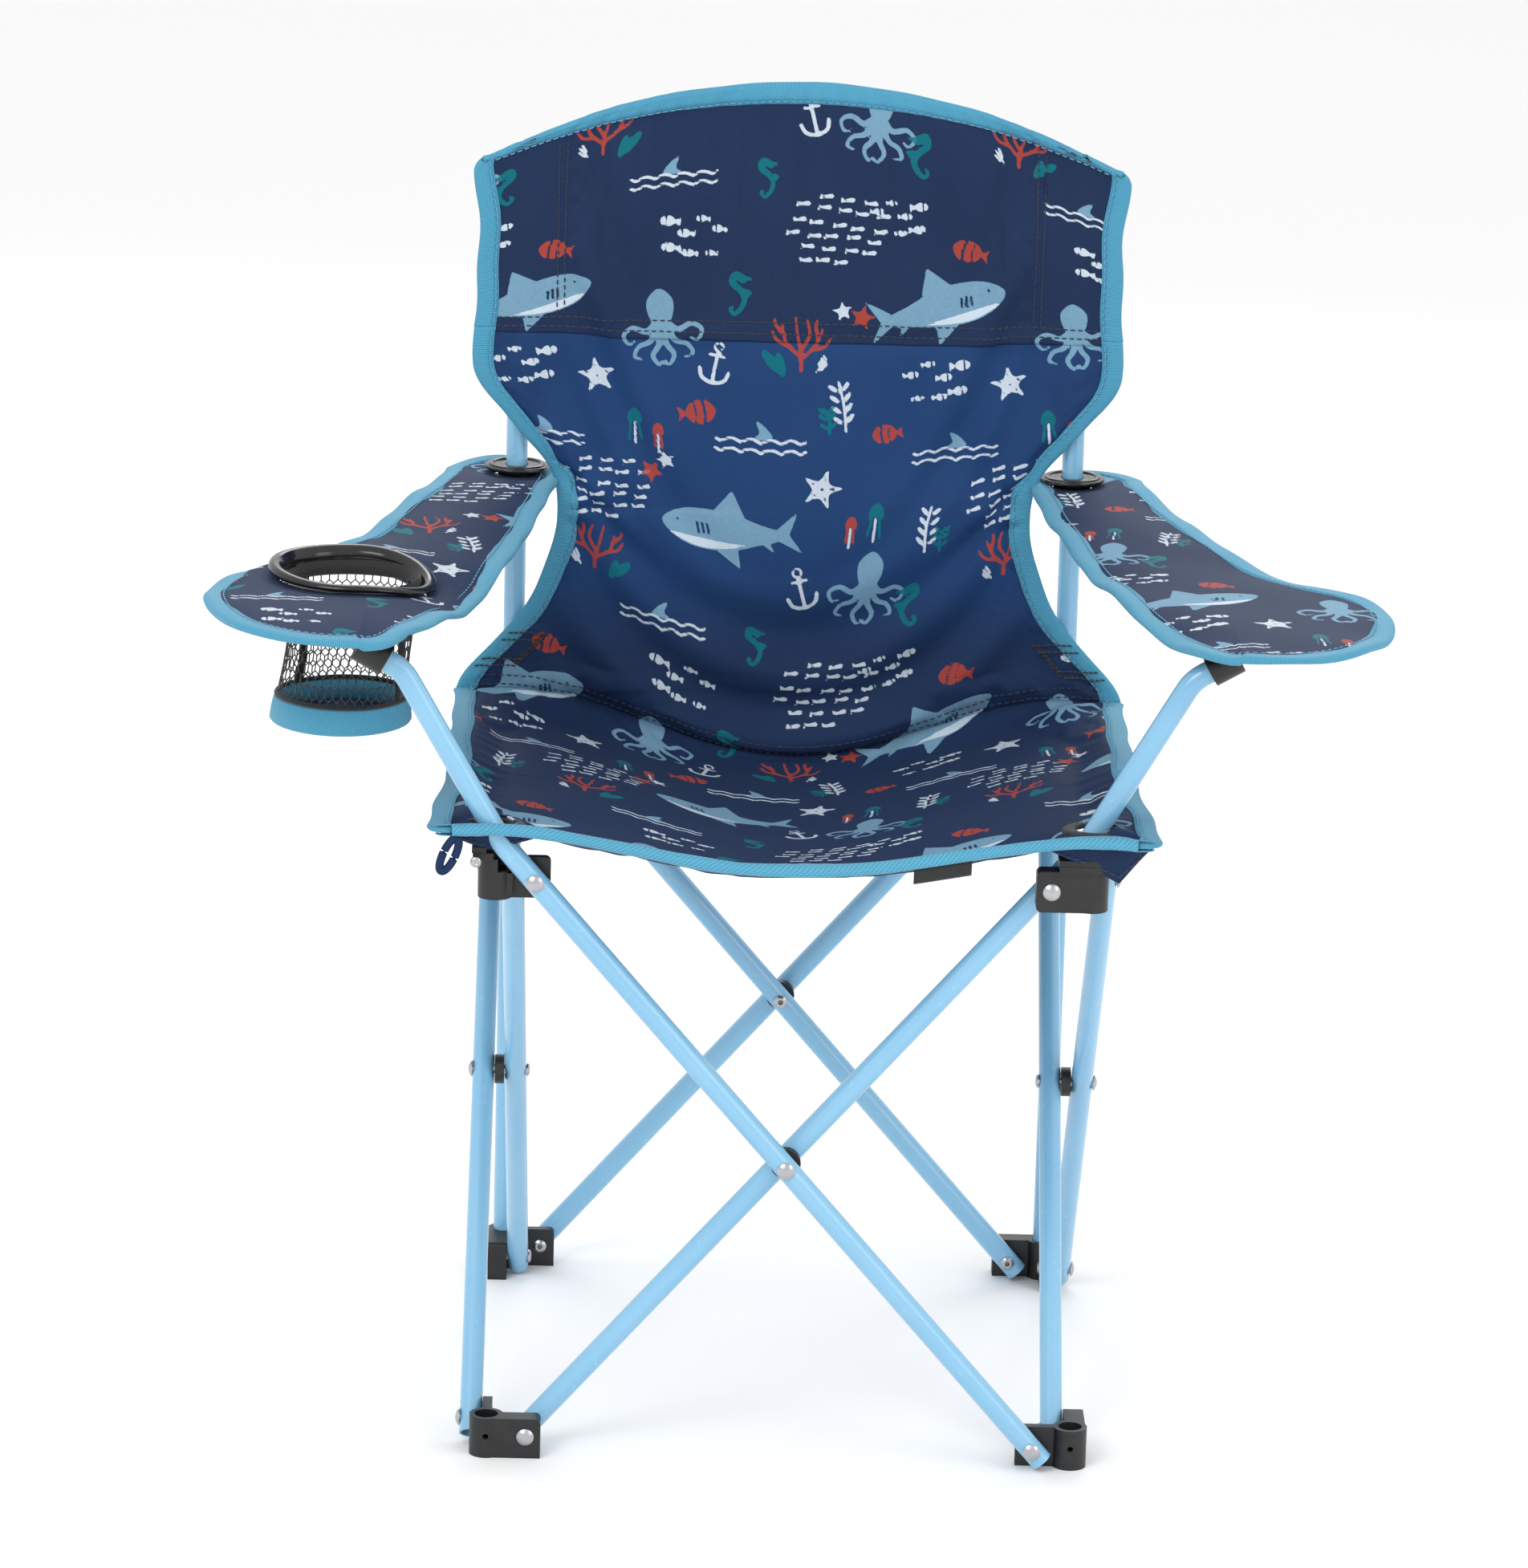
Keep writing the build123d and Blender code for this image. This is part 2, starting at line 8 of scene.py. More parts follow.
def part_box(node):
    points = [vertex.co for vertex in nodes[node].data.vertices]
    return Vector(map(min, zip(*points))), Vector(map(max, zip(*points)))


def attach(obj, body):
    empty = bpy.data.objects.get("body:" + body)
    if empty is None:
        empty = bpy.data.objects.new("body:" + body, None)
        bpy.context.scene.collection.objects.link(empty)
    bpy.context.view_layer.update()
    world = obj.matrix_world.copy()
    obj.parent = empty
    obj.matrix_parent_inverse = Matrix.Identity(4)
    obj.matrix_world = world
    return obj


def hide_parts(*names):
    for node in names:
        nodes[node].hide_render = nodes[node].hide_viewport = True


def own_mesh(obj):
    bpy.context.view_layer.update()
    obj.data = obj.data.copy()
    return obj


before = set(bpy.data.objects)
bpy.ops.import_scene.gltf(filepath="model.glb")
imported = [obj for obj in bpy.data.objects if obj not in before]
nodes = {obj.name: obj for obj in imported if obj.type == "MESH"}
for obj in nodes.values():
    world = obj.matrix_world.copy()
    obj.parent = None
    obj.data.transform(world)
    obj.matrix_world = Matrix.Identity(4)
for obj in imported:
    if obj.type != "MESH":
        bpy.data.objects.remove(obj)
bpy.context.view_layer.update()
bpy.ops.object.select_all(action="DESELECT")
print("frame loaded,", len(nodes), "nodes")

# ---- camera, floor and light
studio = {
    "cameraPlace": (-0.06336, -3.58785, 1.28147),
    "cameraTurns": (-0.7773, 75.188, 1.5356),  # degrees about z, x, z
    "lens": 157.25,
    "floorSize": 30.0,
    "floorTone": 0.94,
    "skyTone": 0.97,
    "skyStrength": 1.02,
}
turnOut, tilt, turnIn = (math.radians(a) for a in studio["cameraTurns"])
camera = bpy.data.objects.new("camera", bpy.data.cameras.new("camera"))
camera.data.lens = studio["lens"]
camera.data.sensor_width = 36
camera.data.clip_end = 60
camera.matrix_world = (
    Matrix.Translation(studio["cameraPlace"])
    @ Matrix.Rotation(turnOut, 4, "Z") @ Matrix.Rotation(tilt, 4, "X") @ Matrix.Rotation(turnIn, 4, "Z")
)
bpy.context.scene.collection.objects.link(camera)
bpy.context.scene.camera = camera
bpy.context.scene.view_settings.view_transform = "Standard"


def addSoftbox(name, place, aim, size, power):
    lamp = bpy.data.lights.new(name, "AREA")
    lamp.shape = "RECTANGLE"
    lamp.size, lamp.size_y = size
    lamp.energy = power
    box = bpy.data.objects.new(name, lamp)
    box.location = place
    box.rotation_euler = (Vector(aim) - Vector(place)).to_track_quat("-Z", "Y").to_euler()
    bpy.context.scene.collection.objects.link(box)


addSoftbox("keyLight", (-1.5, -2.3, 2.4), (0, 0, 0.35), (1.5, 1.5), 34)
addSoftbox("fillLight", (2.1, -1.7, 1.5), (0, 0, 0.35), (1.3, 1.8), 14)
addSoftbox("backLight", (0.3, 2.1, 1.9), (0, 0, 0.5), (1.8, 1.0), 18)
world = bpy.data.worlds.new("studioSky")
bpy.context.scene.world = world
world.use_nodes = True
world.node_tree.nodes["Background"].inputs["Color"].default_value = (studio["skyTone"],) * 3 + (1,)
world.node_tree.nodes["Background"].inputs["Strength"].default_value = studio["skyStrength"]


# ---- materials
def newMaterial(name, **sockets):
    material = bpy.data.materials.new(name)
    material.use_nodes = True
    tree = material.node_tree
    shader = tree.nodes["Principled BSDF"]
    for socket, value in sockets.items():
        shader.inputs[socket.replace("_", " ")].default_value = value
    return material, tree, shader


def addNode(tree, kind, inputs=None, **settings):
    node = tree.nodes.new("ShaderNode" + kind)
    for key, value in settings.items():
        setattr(node, key, value)
    for key, value in (inputs or {}).items():
        if isinstance(value, bpy.types.NodeSocket):
            tree.links.new(value, node.inputs[key])
        else:
            node.inputs[key].default_value = value
    return node


def addMath(tree, operation, *values):
    return addNode(tree, "Math", dict(enumerate(values)), operation=operation).outputs[0]


def addRamp(tree, factor, stops):
    ramp = addNode(tree, "ValToRGB", {"Fac": factor})
    elements = ramp.color_ramp.elements
    while len(elements) < len(stops):
        elements.new(0.5)
    for element, (place, color) in zip(elements, stops):
        element.position = place
        element.color = tuple(color) + (1,) if len(color) == 3 else tuple(color)
    return ramp.outputs["Color"]


def addMix(tree, factor, first, second, mode="MIX"):
    node = addNode(tree, "Mix", data_type="RGBA", blend_type=mode)
    for index, value in ((0, factor), (6, first), (7, second)):
        if isinstance(value, bpy.types.NodeSocket):
            tree.links.new(value, node.inputs[index])
        else:
            node.inputs[index].default_value = value if index == 0 else tuple(value) + (1,)
    return node.outputs[2]


def addRange(tree, value, **limits):
    return addNode(tree, "MapRange", {"Value": value,
        **{key.replace("_", " "): at for key, at in limits.items()}}).outputs[0]


def addNoise(tree, coordinates, scale, detail=3.0, roughness=0.55, distortion=0.0):
    return addNode(
        tree, "TexNoise",
        {"Vector": coordinates, "Scale": scale, "Detail": detail, "Roughness": roughness, "Distortion": distortion},
    ).outputs["Fac"]


def addBump(tree, shader, height, strength, distance):
    bump = addNode(tree, "Bump", {"Height": height, "Strength": strength, "Distance": distance})
    tree.links.new(bump.outputs["Normal"], shader.inputs["Normal"])


def objectCoordinates(tree):
    return addNode(tree, "TexCoord").outputs["Object"]


def makePaint():
    material, tree, shader = newMaterial("paintedSteel", Coat_Weight=0.6, Coat_Roughness=0.1)
    place = objectCoordinates(tree)
    patches = addNoise(tree, place, 9.0)
    specks = addNoise(tree, place, 260.0, 2.0)
    tone = addRamp(tree, patches, [(0.3, (0.195, 0.445, 0.66)), (0.7, (0.235, 0.50, 0.71))])
    dusty = addMix(tree, addMath(tree, "MULTIPLY", addMath(tree, "GREATER_THAN", specks, 0.69), 0.35), tone,
        (0.33, 0.60, 0.82))
    tree.links.new(dusty, shader.inputs["Base Color"])
    tree.links.new(addRange(tree, patches, To_Min=0.24, To_Max=0.36), shader.inputs["Roughness"])
    addBump(tree, shader, addNoise(tree, place, 700.0, 2.0), 0.12, 0.0004)
    return material


def makeMoulding(name, low, high, roughLow, roughHigh, grain):
    material, tree, shader = newMaterial(name)
    place = objectCoordinates(tree)
    scuffs = addNoise(tree, place, 42.0, 5.0, 0.7, 0.6)
    tree.links.new(addRamp(tree, scuffs, [(0.42, low), (0.74, high)]), shader.inputs["Base Color"])
    tree.links.new(addRange(tree, scuffs, To_Min=roughLow, To_Max=roughHigh), shader.inputs["Roughness"])
    addBump(tree, shader, addNoise(tree, place, 1400.0, 2.0), grain, 0.0003)
    return material


def makeMetal(name, tone, roughLow, roughHigh):
    material, tree, shader = newMaterial(name, Metallic=1.0)
    place = objectCoordinates(tree)
    smears = addNoise(tree, place, 130.0, 4.0, 0.6, 0.8)
    tree.links.new(addRamp(tree, smears, [(0.3, [c * 0.86 for c in tone]), (0.72, tone)]),
        shader.inputs["Base Color"])
    tree.links.new(addRange(tree, smears, To_Min=roughLow, To_Max=roughHigh), shader.inputs["Roughness"])
    addBump(tree, shader, addNoise(tree, place, 900.0, 2.0), 0.08, 0.0002)
    return material


inkTones = {
    "greyInk": (0.19, 0.36, 0.50),
    "whiteInk": (0.62, 0.70, 0.78),
    "redInk": (0.40, 0.055, 0.035),
    "tealInk": (0.0, 0.15, 0.19),
}
# the second tone is painted backlight: the navy as if lit through the single-layer cloth; the first is the navy with
# no light coming through
clothTones = {"deep": (0.008, 0.020, 0.060), "bright": (0.009, 0.052, 0.175), "thread": 0.00052}


def addWeave(tree, flat, pitch):
    split = addNode(tree, "SeparateXYZ", {"Vector": flat})
    turns = 2 * math.pi / pitch
    warp = addMath(tree, "SINE", addMath(tree, "MULTIPLY", split.outputs["X"], turns))
    weft = addMath(tree, "SINE", addMath(tree, "MULTIPLY", split.outputs["Y"], turns))
    return addMath(tree, "MULTIPLY", warp, weft)


def makeCloth(name, printed):
    material, tree, shader = newMaterial(name, Sheen_Weight=0.03, Sheen_Roughness=0.4, Specular_IOR_Level=0.16)
    flat = addNode(tree, "UVMap", uv_map="flatCut").outputs["UV"]
    place = objectCoordinates(tree)
    weave = addWeave(tree, flat, clothTones["thread"])
    slubs = addNoise(tree, flat, 420.0, 3.0, 0.6)
    broad = addNoise(tree, place, 14.0, 4.0)
    # painted backlight: this attribute mixes in a lighter navy where light would shine through the cloth
    glow = addNode(tree, "Attribute", attribute_name="glow").outputs["Fac"]
    base = addMix(tree, glow, clothTones["deep"], clothTones["bright"])
    base = addMix(tree, addMath(tree, "MULTIPLY", slubs, 0.30), base, (0.03, 0.055, 0.13))
    base = addMix(tree, addMath(tree, "MULTIPLY", broad, 0.22), base, (0.004, 0.010, 0.040))
    if printed:
        for ink, tone in inkTones.items():
            depth = addNode(tree, "Attribute", attribute_name=ink).outputs["Fac"]
            edge = addMath(tree, "MULTIPLY_ADD", addMath(tree, "SUBTRACT", slubs, 0.5), 0.5, depth)
            cover = addRange(tree, edge, From_Min=-0.12, From_Max=0.16, To_Max=0.93)
            fade = addRange(tree, slubs, From_Min=0.2, From_Max=0.6, To_Min=0.86, To_Max=1.0)
            worn = addMath(tree, "MULTIPLY", cover, fade)
            base = addMix(tree, worn, base, tone)
    tree.links.new(base, shader.inputs["Base Color"])
    tree.links.new(addRange(tree, broad, To_Min=0.56, To_Max=0.72), shader.inputs["Roughness"])
    height = addMath(tree, "MULTIPLY_ADD", slubs, 1.2, weave)
    addBump(tree, shader, height, 0.30, 0.00016)
    return material


def makeTape(name, low, high, ribPitch, coarse=0.0):
    material, tree, shader = newMaterial(name, Sheen_Weight=0.2, Sheen_Roughness=0.4)
    along = addNode(tree, "UVMap", uv_map="tapeRun").outputs["UV"]
    split = addNode(tree, "SeparateXYZ", {"Vector": along})
    fuzz = addNoise(tree, along, 900.0, 3.0, 0.7)
    shifted = addMath(tree, "MULTIPLY_ADD", split.outputs["Y"], coarse, split.outputs["X"])
    ribs = addMath(tree, "SINE", addMath(tree, "MULTIPLY", shifted, 2 * math.pi / ribPitch))
    picks = addMath(tree, "SINE", addMath(tree, "MULTIPLY", split.outputs["Y"], 2 * math.pi / 0.0009))
    ridge = addMath(tree, "MULTIPLY_ADD", picks, 0.35, ribs)
    shade = addRange(tree, ridge, From_Min=-1.35, From_Max=1.35)
    tone = addMix(tree, shade, low, high)
    tone = addMix(tree, addMath(tree, "MULTIPLY", fuzz, 0.25), tone, low)
    tree.links.new(tone, shader.inputs["Base Color"])
    shader.inputs["Roughness"].default_value = 0.72
    addBump(tree, shader, addMath(tree, "MULTIPLY_ADD", fuzz, 0.6, ridge), 0.5, 0.00025)
    return material


def makeThread(name, low, high, pitch):
    material, tree, shader = newMaterial(name, Roughness=0.7, Sheen_Weight=0.3)
    place = objectCoordinates(tree)
    strands = addNode(
        tree, "TexWave", {"Vector": place, "Scale": pitch, "Distortion": 3.0, "Detail": 2.0}, wave_type="BANDS",
        bands_direction="DIAGONAL",
    ).outputs["Fac"]
    tree.links.new(addMix(tree, strands, low, high), shader.inputs["Base Color"])
    addBump(tree, shader, strands, 0.5, 0.0002)
    return material


paint = makePaint()
blackMoulding = makeMoulding("blackMoulding", (0.0075, 0.0075, 0.008), (0.018, 0.018, 0.019), 0.36, 0.52, 0.22)
glossMoulding = makeMoulding("glossMoulding", (0.006, 0.006, 0.007), (0.012, 0.012, 0.013), 0.10, 0.20, 0.05)
chrome = makeMetal("rivetChrome", (0.50, 0.51, 0.53), 0.22, 0.42)
printedCloth = makeCloth("printedCloth", True)
plainCloth = makeCloth("plainCloth", False)
blueTape = makeTape("blueTape", (0.040, 0.245, 0.40), (0.085, 0.385, 0.56), 0.0011)
rolledTape = makeTape("rolledTape", (0.045, 0.26, 0.42), (0.11, 0.42, 0.59), 0.0028, 0.8)
blackTape = makeTape("blackTape", (0.006, 0.006, 0.007), (0.022, 0.022, 0.024), 0.0011)
netThread = makeThread("netThread", (0.006, 0.006, 0.007), (0.03, 0.03, 0.032), 900.0)
navyThread = makeThread("navyThread", (0.004, 0.006, 0.018), (0.012, 0.018, 0.05), 900.0)
blueThread = makeThread("blueThread", (0.06, 0.26, 0.46), (0.16, 0.48, 0.72), 900.0)
blackThread = makeThread("blackThread", (0.004, 0.004, 0.005), (0.02, 0.02, 0.022), 900.0)

finishes = {
    "tube_": paint, "post_left": paint, "post_right": paint, "rivet": chrome, "post_screw": chrome,
    "grommet": glossMoulding, "cup_rim": glossMoulding, "foot_": blackMoulding, "hub_": blackMoulding,
    "spacer": blackMoulding, "post_cap": blackMoulding, "arm_plate": blackMoulding, "corner_pad": blackMoulding,
}
for name, node in nodes.items():
    for start, material in finishes.items():
        if name.startswith(start):
            for slot in node.material_slots:
                slot.material = material
print("materials ready")

floorMaterial, floorTree, floorShader = newMaterial("studioFloor", Roughness=0.85)
floorNoise = addNoise(floorTree, objectCoordinates(floorTree), 0.6)
floorTone = studio["floorTone"]
floorTree.links.new(
    addRamp(floorTree, floorNoise, [(0.3, (floorTone,) * 3), (0.7, (floorTone + 0.01,) * 3)]),
    floorShader.inputs["Base Color"],
)
bpy.ops.mesh.primitive_plane_add(size=studio["floorSize"])
floor = bpy.context.object
floor.name = "studioFloor"
floor.data.materials.append(floorMaterial)
bpy.ops.object.select_all(action="DESELECT")

# ---- the print: an own drawing of sea life, kept as distances to each shape's edge
pi = math.pi


def rounded(points, closed=True, steps=5):
    p = np.array(points, float)
    n = len(p)
    out = []
    for i in range(n if closed else n - 1):
        a, b, c, d = (p[(i + k) % n] if closed else p[min(max(i + k, 0), n - 1)] for k in (-1, 0, 1, 2))
        for t in np.arange(steps) / steps:
            out.append(0.5 * (2 * b + (c - a) * t + (2 * a - 5 * b + 4 * c - d) * t**2 + (3 * b - a - 3 * c + d) * t**3))
    if not closed:
        out.append(p[-1])
    return np.array(out)


def oval(x, y, rx, ry, turn=0.0, count=18):
    a = np.linspace(0, 2 * pi, count, endpoint=False)
    px, py = rx * np.cos(a), ry * np.sin(a)
    return np.stack([x + px * math.cos(turn) - py * math.sin(turn), y + px * math.sin(turn) + py * math.cos(turn)], 1)


def star(x, y, outer, inner, turn=0.3):
    a = np.arange(10) * pi / 5 + turn
    r = np.where(np.arange(10) % 2 == 0, outer, inner)
    return rounded(np.stack([x + r * np.cos(a), y + r * np.sin(a)], 1), steps=4)


def mirrored(points):
    return [(-x, y) for x, y in points]


def smallFish(x, y, size):
    return [
        ("whiteInk", "shape", oval(x, y, 0.55 * size, 0.40 * size)),
        ("whiteInk", "shape", [(x - 0.4 * size, y), (x - 0.95 * size, y + 0.36 * size),
        (x - 0.95 * size, y - 0.36 * size)]),
        (None, "line", [(x + 0.12 * size, y + 0.45 * size), (x + 0.12 * size, y - 0.45 * size)], 0.5),
    ]


shark = [
    ("greyInk", "shape", rounded([(38, 6), (28, 13), (12, 15), (-6, 12), (-22, 6), (-32, 2.5), (-33, -3), (-20, -6),
    (-2, -10), (16, -9.5), (30, -4)])),
    ("greyInk", "shape", [(-30, 3), (-44, 14), (-38, 0), (-46, -12), (-31, -3)]),
    ("greyInk", "shape", [(8, 13), (-5, 27), (-12, 10)]),
    ("greyInk", "shape", [(10, -7), (-8, -21), (-7, -7)]),
    ("greyInk", "shape", [(-20, -4), (-29, -11), (-26, -4)]),
    ("whiteInk", "shape", rounded([(33, -1), (18, -3), (2, -5), (-12, -6.4), (2, -9.2), (16, -8.8), (28, -4.5)])),
    (None, "line", [(28, 7.4), (28.4, 7.4)], 1.0),
    (None, "line", [(17, 6), (16, -0.5)], 0.78),
    (None, "line", [(14, 6), (13, -0.5)], 0.78),
    (None, "line", [(11, 5.6), (10, -0.5)], 0.78),
]
octopusArms = [
    [(-3, 5), (-9, 0), (-17, 3), (-23, -1), (-20, -7), (-16, -5)],
    [(-2, 4), (-7, -6), (-14, -9), (-17, -15), (-12, -17)],
    [(-1, 4), (-2, -8), (-6, -15), (-3, -21), (1, -19)],
]
octopus = [("greyInk", "shape", rounded([(0, 26), (7, 20), (7.5, 12), (4, 4), (-4, 4), (-7.5, 12), (-7, 20)]))]
for arm in octopusArms:
    octopus += [("greyInk", "line", rounded(arm, False), 2.1, 0.7),
        ("greyInk", "line", rounded(mirrored(arm), False), 2.1, 0.7)]
coral = [
    ("redInk", "line", rounded(branch, False, 4), 1.25, 0.75)
    for branch in (
        [(0, -15), (0.5, -6), (-1, 4), (-2, 16)], [(0, -7), (-8, 1), (-10, 12)], [(-6, -1), (-13, 3), (-16, 9)],
        [(0, -4), (6, 5), (5, 14)], [(0, -9), (9, -1), (14, 9)], [(7, -3), (14, -2), (18, 3)],
        [(-9, 6), (-14, 13), (-14, 16)],
        [(11, 3), (10, 10), (11, 14)],
    )
] + [
    ("tealInk", "shape", oval(-17, -9, 8.5, 2.9, 2.2)), ("tealInk", "shape", oval(-12, -11, 7.5, 2.6, 1.75)),
    ("whiteInk", "line", [(9, -16), (15, -9)], 0.75), ("whiteInk", "line", [(12, -15), (15, -12)], 0.8),
    ("whiteInk", "line", [(10.5, -12), (13.5, -7)], 0.8),
]
seahorse = [
    ("tealInk", "line", rounded([(3, 9), (-1, 12), (-3, 8), (1, 3), (2.5, -2), (0, -7), (-4, -9.5), (-6, -6.5),
    (-4, -5)], False), 2.3, 0.8),
    ("tealInk", "line", [(2, 10), (7, 8.6)], 1.0),
    ("tealInk", "shape", [(3, 4), (8, 1.5), (3.6, -2.5)]),
]
starfish = [("whiteInk", "shape", star(0, 0, 11.5, 5.2)), (None, "line", [(0, 0), (0.2, 0)], 0.9)] + [
    (None, "line", [(4.6 * math.cos(a), 4.6 * math.sin(a)), (6.4 * math.cos(a), 6.4 * math.sin(a))], 0.42)
    for a in np.arange(5) * 2 * pi / 5 + 0.3
]
redStar = [("redInk", "shape", star(0, 0, 7.5, 3.4, 0.1)), ("whiteInk", "shape", star(-11, 3, 6.0, 2.7, 0.5))]
redFish = [
    ("redInk", "shape", rounded([(9, 0), (4, 6.5), (-4, 6.0), (-8, 1), (-8, -1), (-4, -6.0), (4, -6.5)])),
    ("redInk", "shape", [(-7, 0), (-13, 5.5), (-11, 0), (-13, -5.5)]),
    (None, "line", [(2, 7), (3, 0), (2, -7)], 0.78), (None, "line", [(-3, 7), (-2, 0), (-3, -7)], 0.55),
]
wave = [
    ("whiteInk", "line", np.stack([s := np.linspace(-25, 25, 41), row + 2.2 * np.abs(np.sin(s * pi / 11))], 1), 0.9)
    for row in (-1.5, -7.0)
] + [("greyInk", "shape", rounded([(6, 1), (3, 7), (-3, 11), (-1, 4), (-6, 1)], steps=4))]
leaf = [("whiteInk", "line", rounded([(0, -14), (1, 0), (0, 14)], False), 0.8)] + [
    ("whiteInk", "shape", oval(side * 3.6, y, 3.4, 1.3, side * 0.8)) for y in (-7, -1, 5, 11) for side in (-1, 1)
] + [("tealInk", "line", rounded([(-9, -14), (-8, -6), (-10, 1)], False), 0.8)] + [
    ("tealInk", "shape", oval(-8.6 + side * 2.8, y, 2.8, 1.1, side * 0.8)) for y in (-9, -4, 0) for side in (-1, 1)
]
anchor = [
    ("whiteInk", "line", [(0, 7), (0, -9)], 1.0), ("whiteInk", "line", [(-4, 4.5), (4, 4.5)], 0.9),
    ("whiteInk", "line", rounded([(-8, -4), (-6, -9), (0, -11), (6, -9), (8, -4)], False), 1.1),
    ("whiteInk", "line", oval(0, 9.6, 2.4, 2.4, 0, 13), 0.7),
]
random = np.random.default_rng(7)
shoal = []
for row in range(6):
    for k in range(5):
        x, y = (k - 2) * 11.0 + row * 1.9 + random.uniform(-1.6, 1.6), (row - 2.5) * 7.2 + random.uniform(-1.2, 1.2)
        if (row, k) not in ((0, 0), (0, 4), (5, 4), (5, 0), (1, 0)):
            shoal.append(("whiteInk", "line", [(x - 2.6, y - 0.6), (x + 2.4, y + 0.5)], 0.7, 1.35))
            shoal.append(("whiteInk", "line", [(x - 3.6, y + 0.7), (x - 2.4, y - 0.5), (x - 3.6, y - 1.6)], 0.65))
fishGroup = [part for x, y, size in ((-14, 6, 6), (-4, 11, 5.5), (4, 2, 6.5), (14, 8, 8), (-12, -8, 5), (0, -9, 6),
    (11, -7, 7.5)) for part in smallFish(x, y, size)]
jelly = [
    ("tealInk", "shape", rounded([(-4, 0), (-3.4, 6), (0, 9), (3.4, 6), (4, 0), (0, 1.5)])),
    ("tealInk", "line", [(-2, 0), (-3.4, -11)], 0.78), ("whiteInk", "line", [(0, 0), (0, -13)], 0.78),
    ("tealInk", "line", [(2, 0), (3.6, -10)], 0.78),
    ("redInk", "shape", rounded([(10, -6), (10.5, -1), (13, 1), (15.5, -1), (16, -6), (13, -5)])),
    ("redInk", "line", [(11.6, -6), (11, -14)], 0.78), ("whiteInk", "line", [(13, -6), (13, -17)], 0.78),
    ("redInk", "line", [(14.4, -6), (15, -14)], 0.78),
]
tile = {"width": 229.0, "height": 262.0}
tilePlaces = [  # drawing, across, along, size, turn in degrees, facing
    (shark, 22, 20, 0.95, 14, 1), (shark, 134, 150, 0.92, 4, -1), (octopus, 96, 36, 0.95, 6, 1),
    (octopus, 212, 182, 0.9, -8, 1),
    (coral, 172, 42, 0.95, 4, 1), (coral, 62, 176, 0.9, -6, -1), (seahorse, 138, 16, 1.0, 8, 1),
    (seahorse, 6, 196, 1.05, -10, -1),
    (seahorse, 152, 214, 0.9, 12, 1), (starfish, 60, 66, 1.0, 12, 1), (starfish, 186, 122, 1.0, -16, 1),
    (redStar, 206, 26, 1.0, 0, 1),
    (redStar, 92, 120, 1.0, 30, -1), (redFish, 118, 82, 1.0, 10, 1), (redFish, 34, 246, 0.95, -12, -1),
    (redFish, 220, 92, 0.8, 6, -1),
    (wave, 152, 96, 1.0, 0, 1), (wave, 30, 104, 0.95, 0, 1), (wave, 100, 208, 0.95, 0, -1),
    (leaf, 196, 76, 1.0, 10, 1),
    (leaf, 16, 150, 0.95, -8, -1), (anchor, 126, 54, 1.0, -10, 1), (anchor, 176, 178, 1.0, 14, 1),
    (shoal, 60, 136, 1.0, 6, 1),
    (shoal, 186, 240, 1.0, -6, 1), (fishGroup, 20, 62, 1.0, 8, 1), (fishGroup, 110, 244, 1.0, -8, -1),
    (jelly, 82, 92, 1.0, 4, 1),
    (jelly, 216, 140, 1.0, -6, -1), (fishGroup, 226, 232, 0.85, 8, 1),
]


def distanceTo(points, element):
    shape = np.array(element[2], float)
    ends = np.roll(shape, -1, 0) if element[1] == "shape" else shape[1:]
    starts = shape if element[1] == "shape" else shape[:-1]
    way = ends - starts
    lengths = np.maximum((way**2).sum(1), 1e-9)
    off = points[:, None, :] - starts[None]
    t = np.clip((off * way).sum(2) / lengths, 0, 1)
    gap = np.linalg.norm(off - t[..., None] * way, axis=2)
    if element[1] == "line":
        first, last = element[3], element[-1]
        at = (np.arange(len(way))[None] + t) / len(way)
        return (first + (last - first) * at - gap).max(1)
    crossing = (starts[None, :, 1] > points[:, None, 1]) != (ends[None, :, 1] > points[:, None, 1])
    rise = np.where(np.abs(way[:, 1]) < 1e-9, 1e-9, way[:, 1])
    inside = (crossing & (off[..., 0] < off[..., 1] * way[:, 0] / rise)).sum(1) % 2 == 1
    return np.where(inside, 1, -1) * gap.min(1)


def drawInks(across, along):
    inks = {ink: np.full(across.shape, -5.0) for ink in inkTones}
    for drawing, atX, atY, size, turn, facing in tilePlaces:
        dx = (across - atX + tile["width"] / 2) % tile["width"] - tile["width"] / 2
        dy = -((along - atY + tile["height"] / 2) % tile["height"] - tile["height"] / 2)
        near = np.nonzero((np.abs(dx) < 54 * size) & (np.abs(dy) < 54 * size))[0]
        if not len(near):
            continue
        c, s = math.cos(math.radians(turn)), math.sin(math.radians(turn))
        local = np.stack([(dx[near] * c + dy[near] * s) * facing, -dx[near] * s + dy[near] * c], 1) / size
        for element in drawing:
            depth = distanceTo(local, element) * size
            if element[0] is None:
                for ink in inks:
                    inks[ink][near] = np.minimum(inks[ink][near], -depth)
            else:
                inks[element[0]][near] = np.maximum(inks[element[0]][near], depth)
    return {ink: np.clip(depth, -5, 5) for ink, depth in inks.items()}


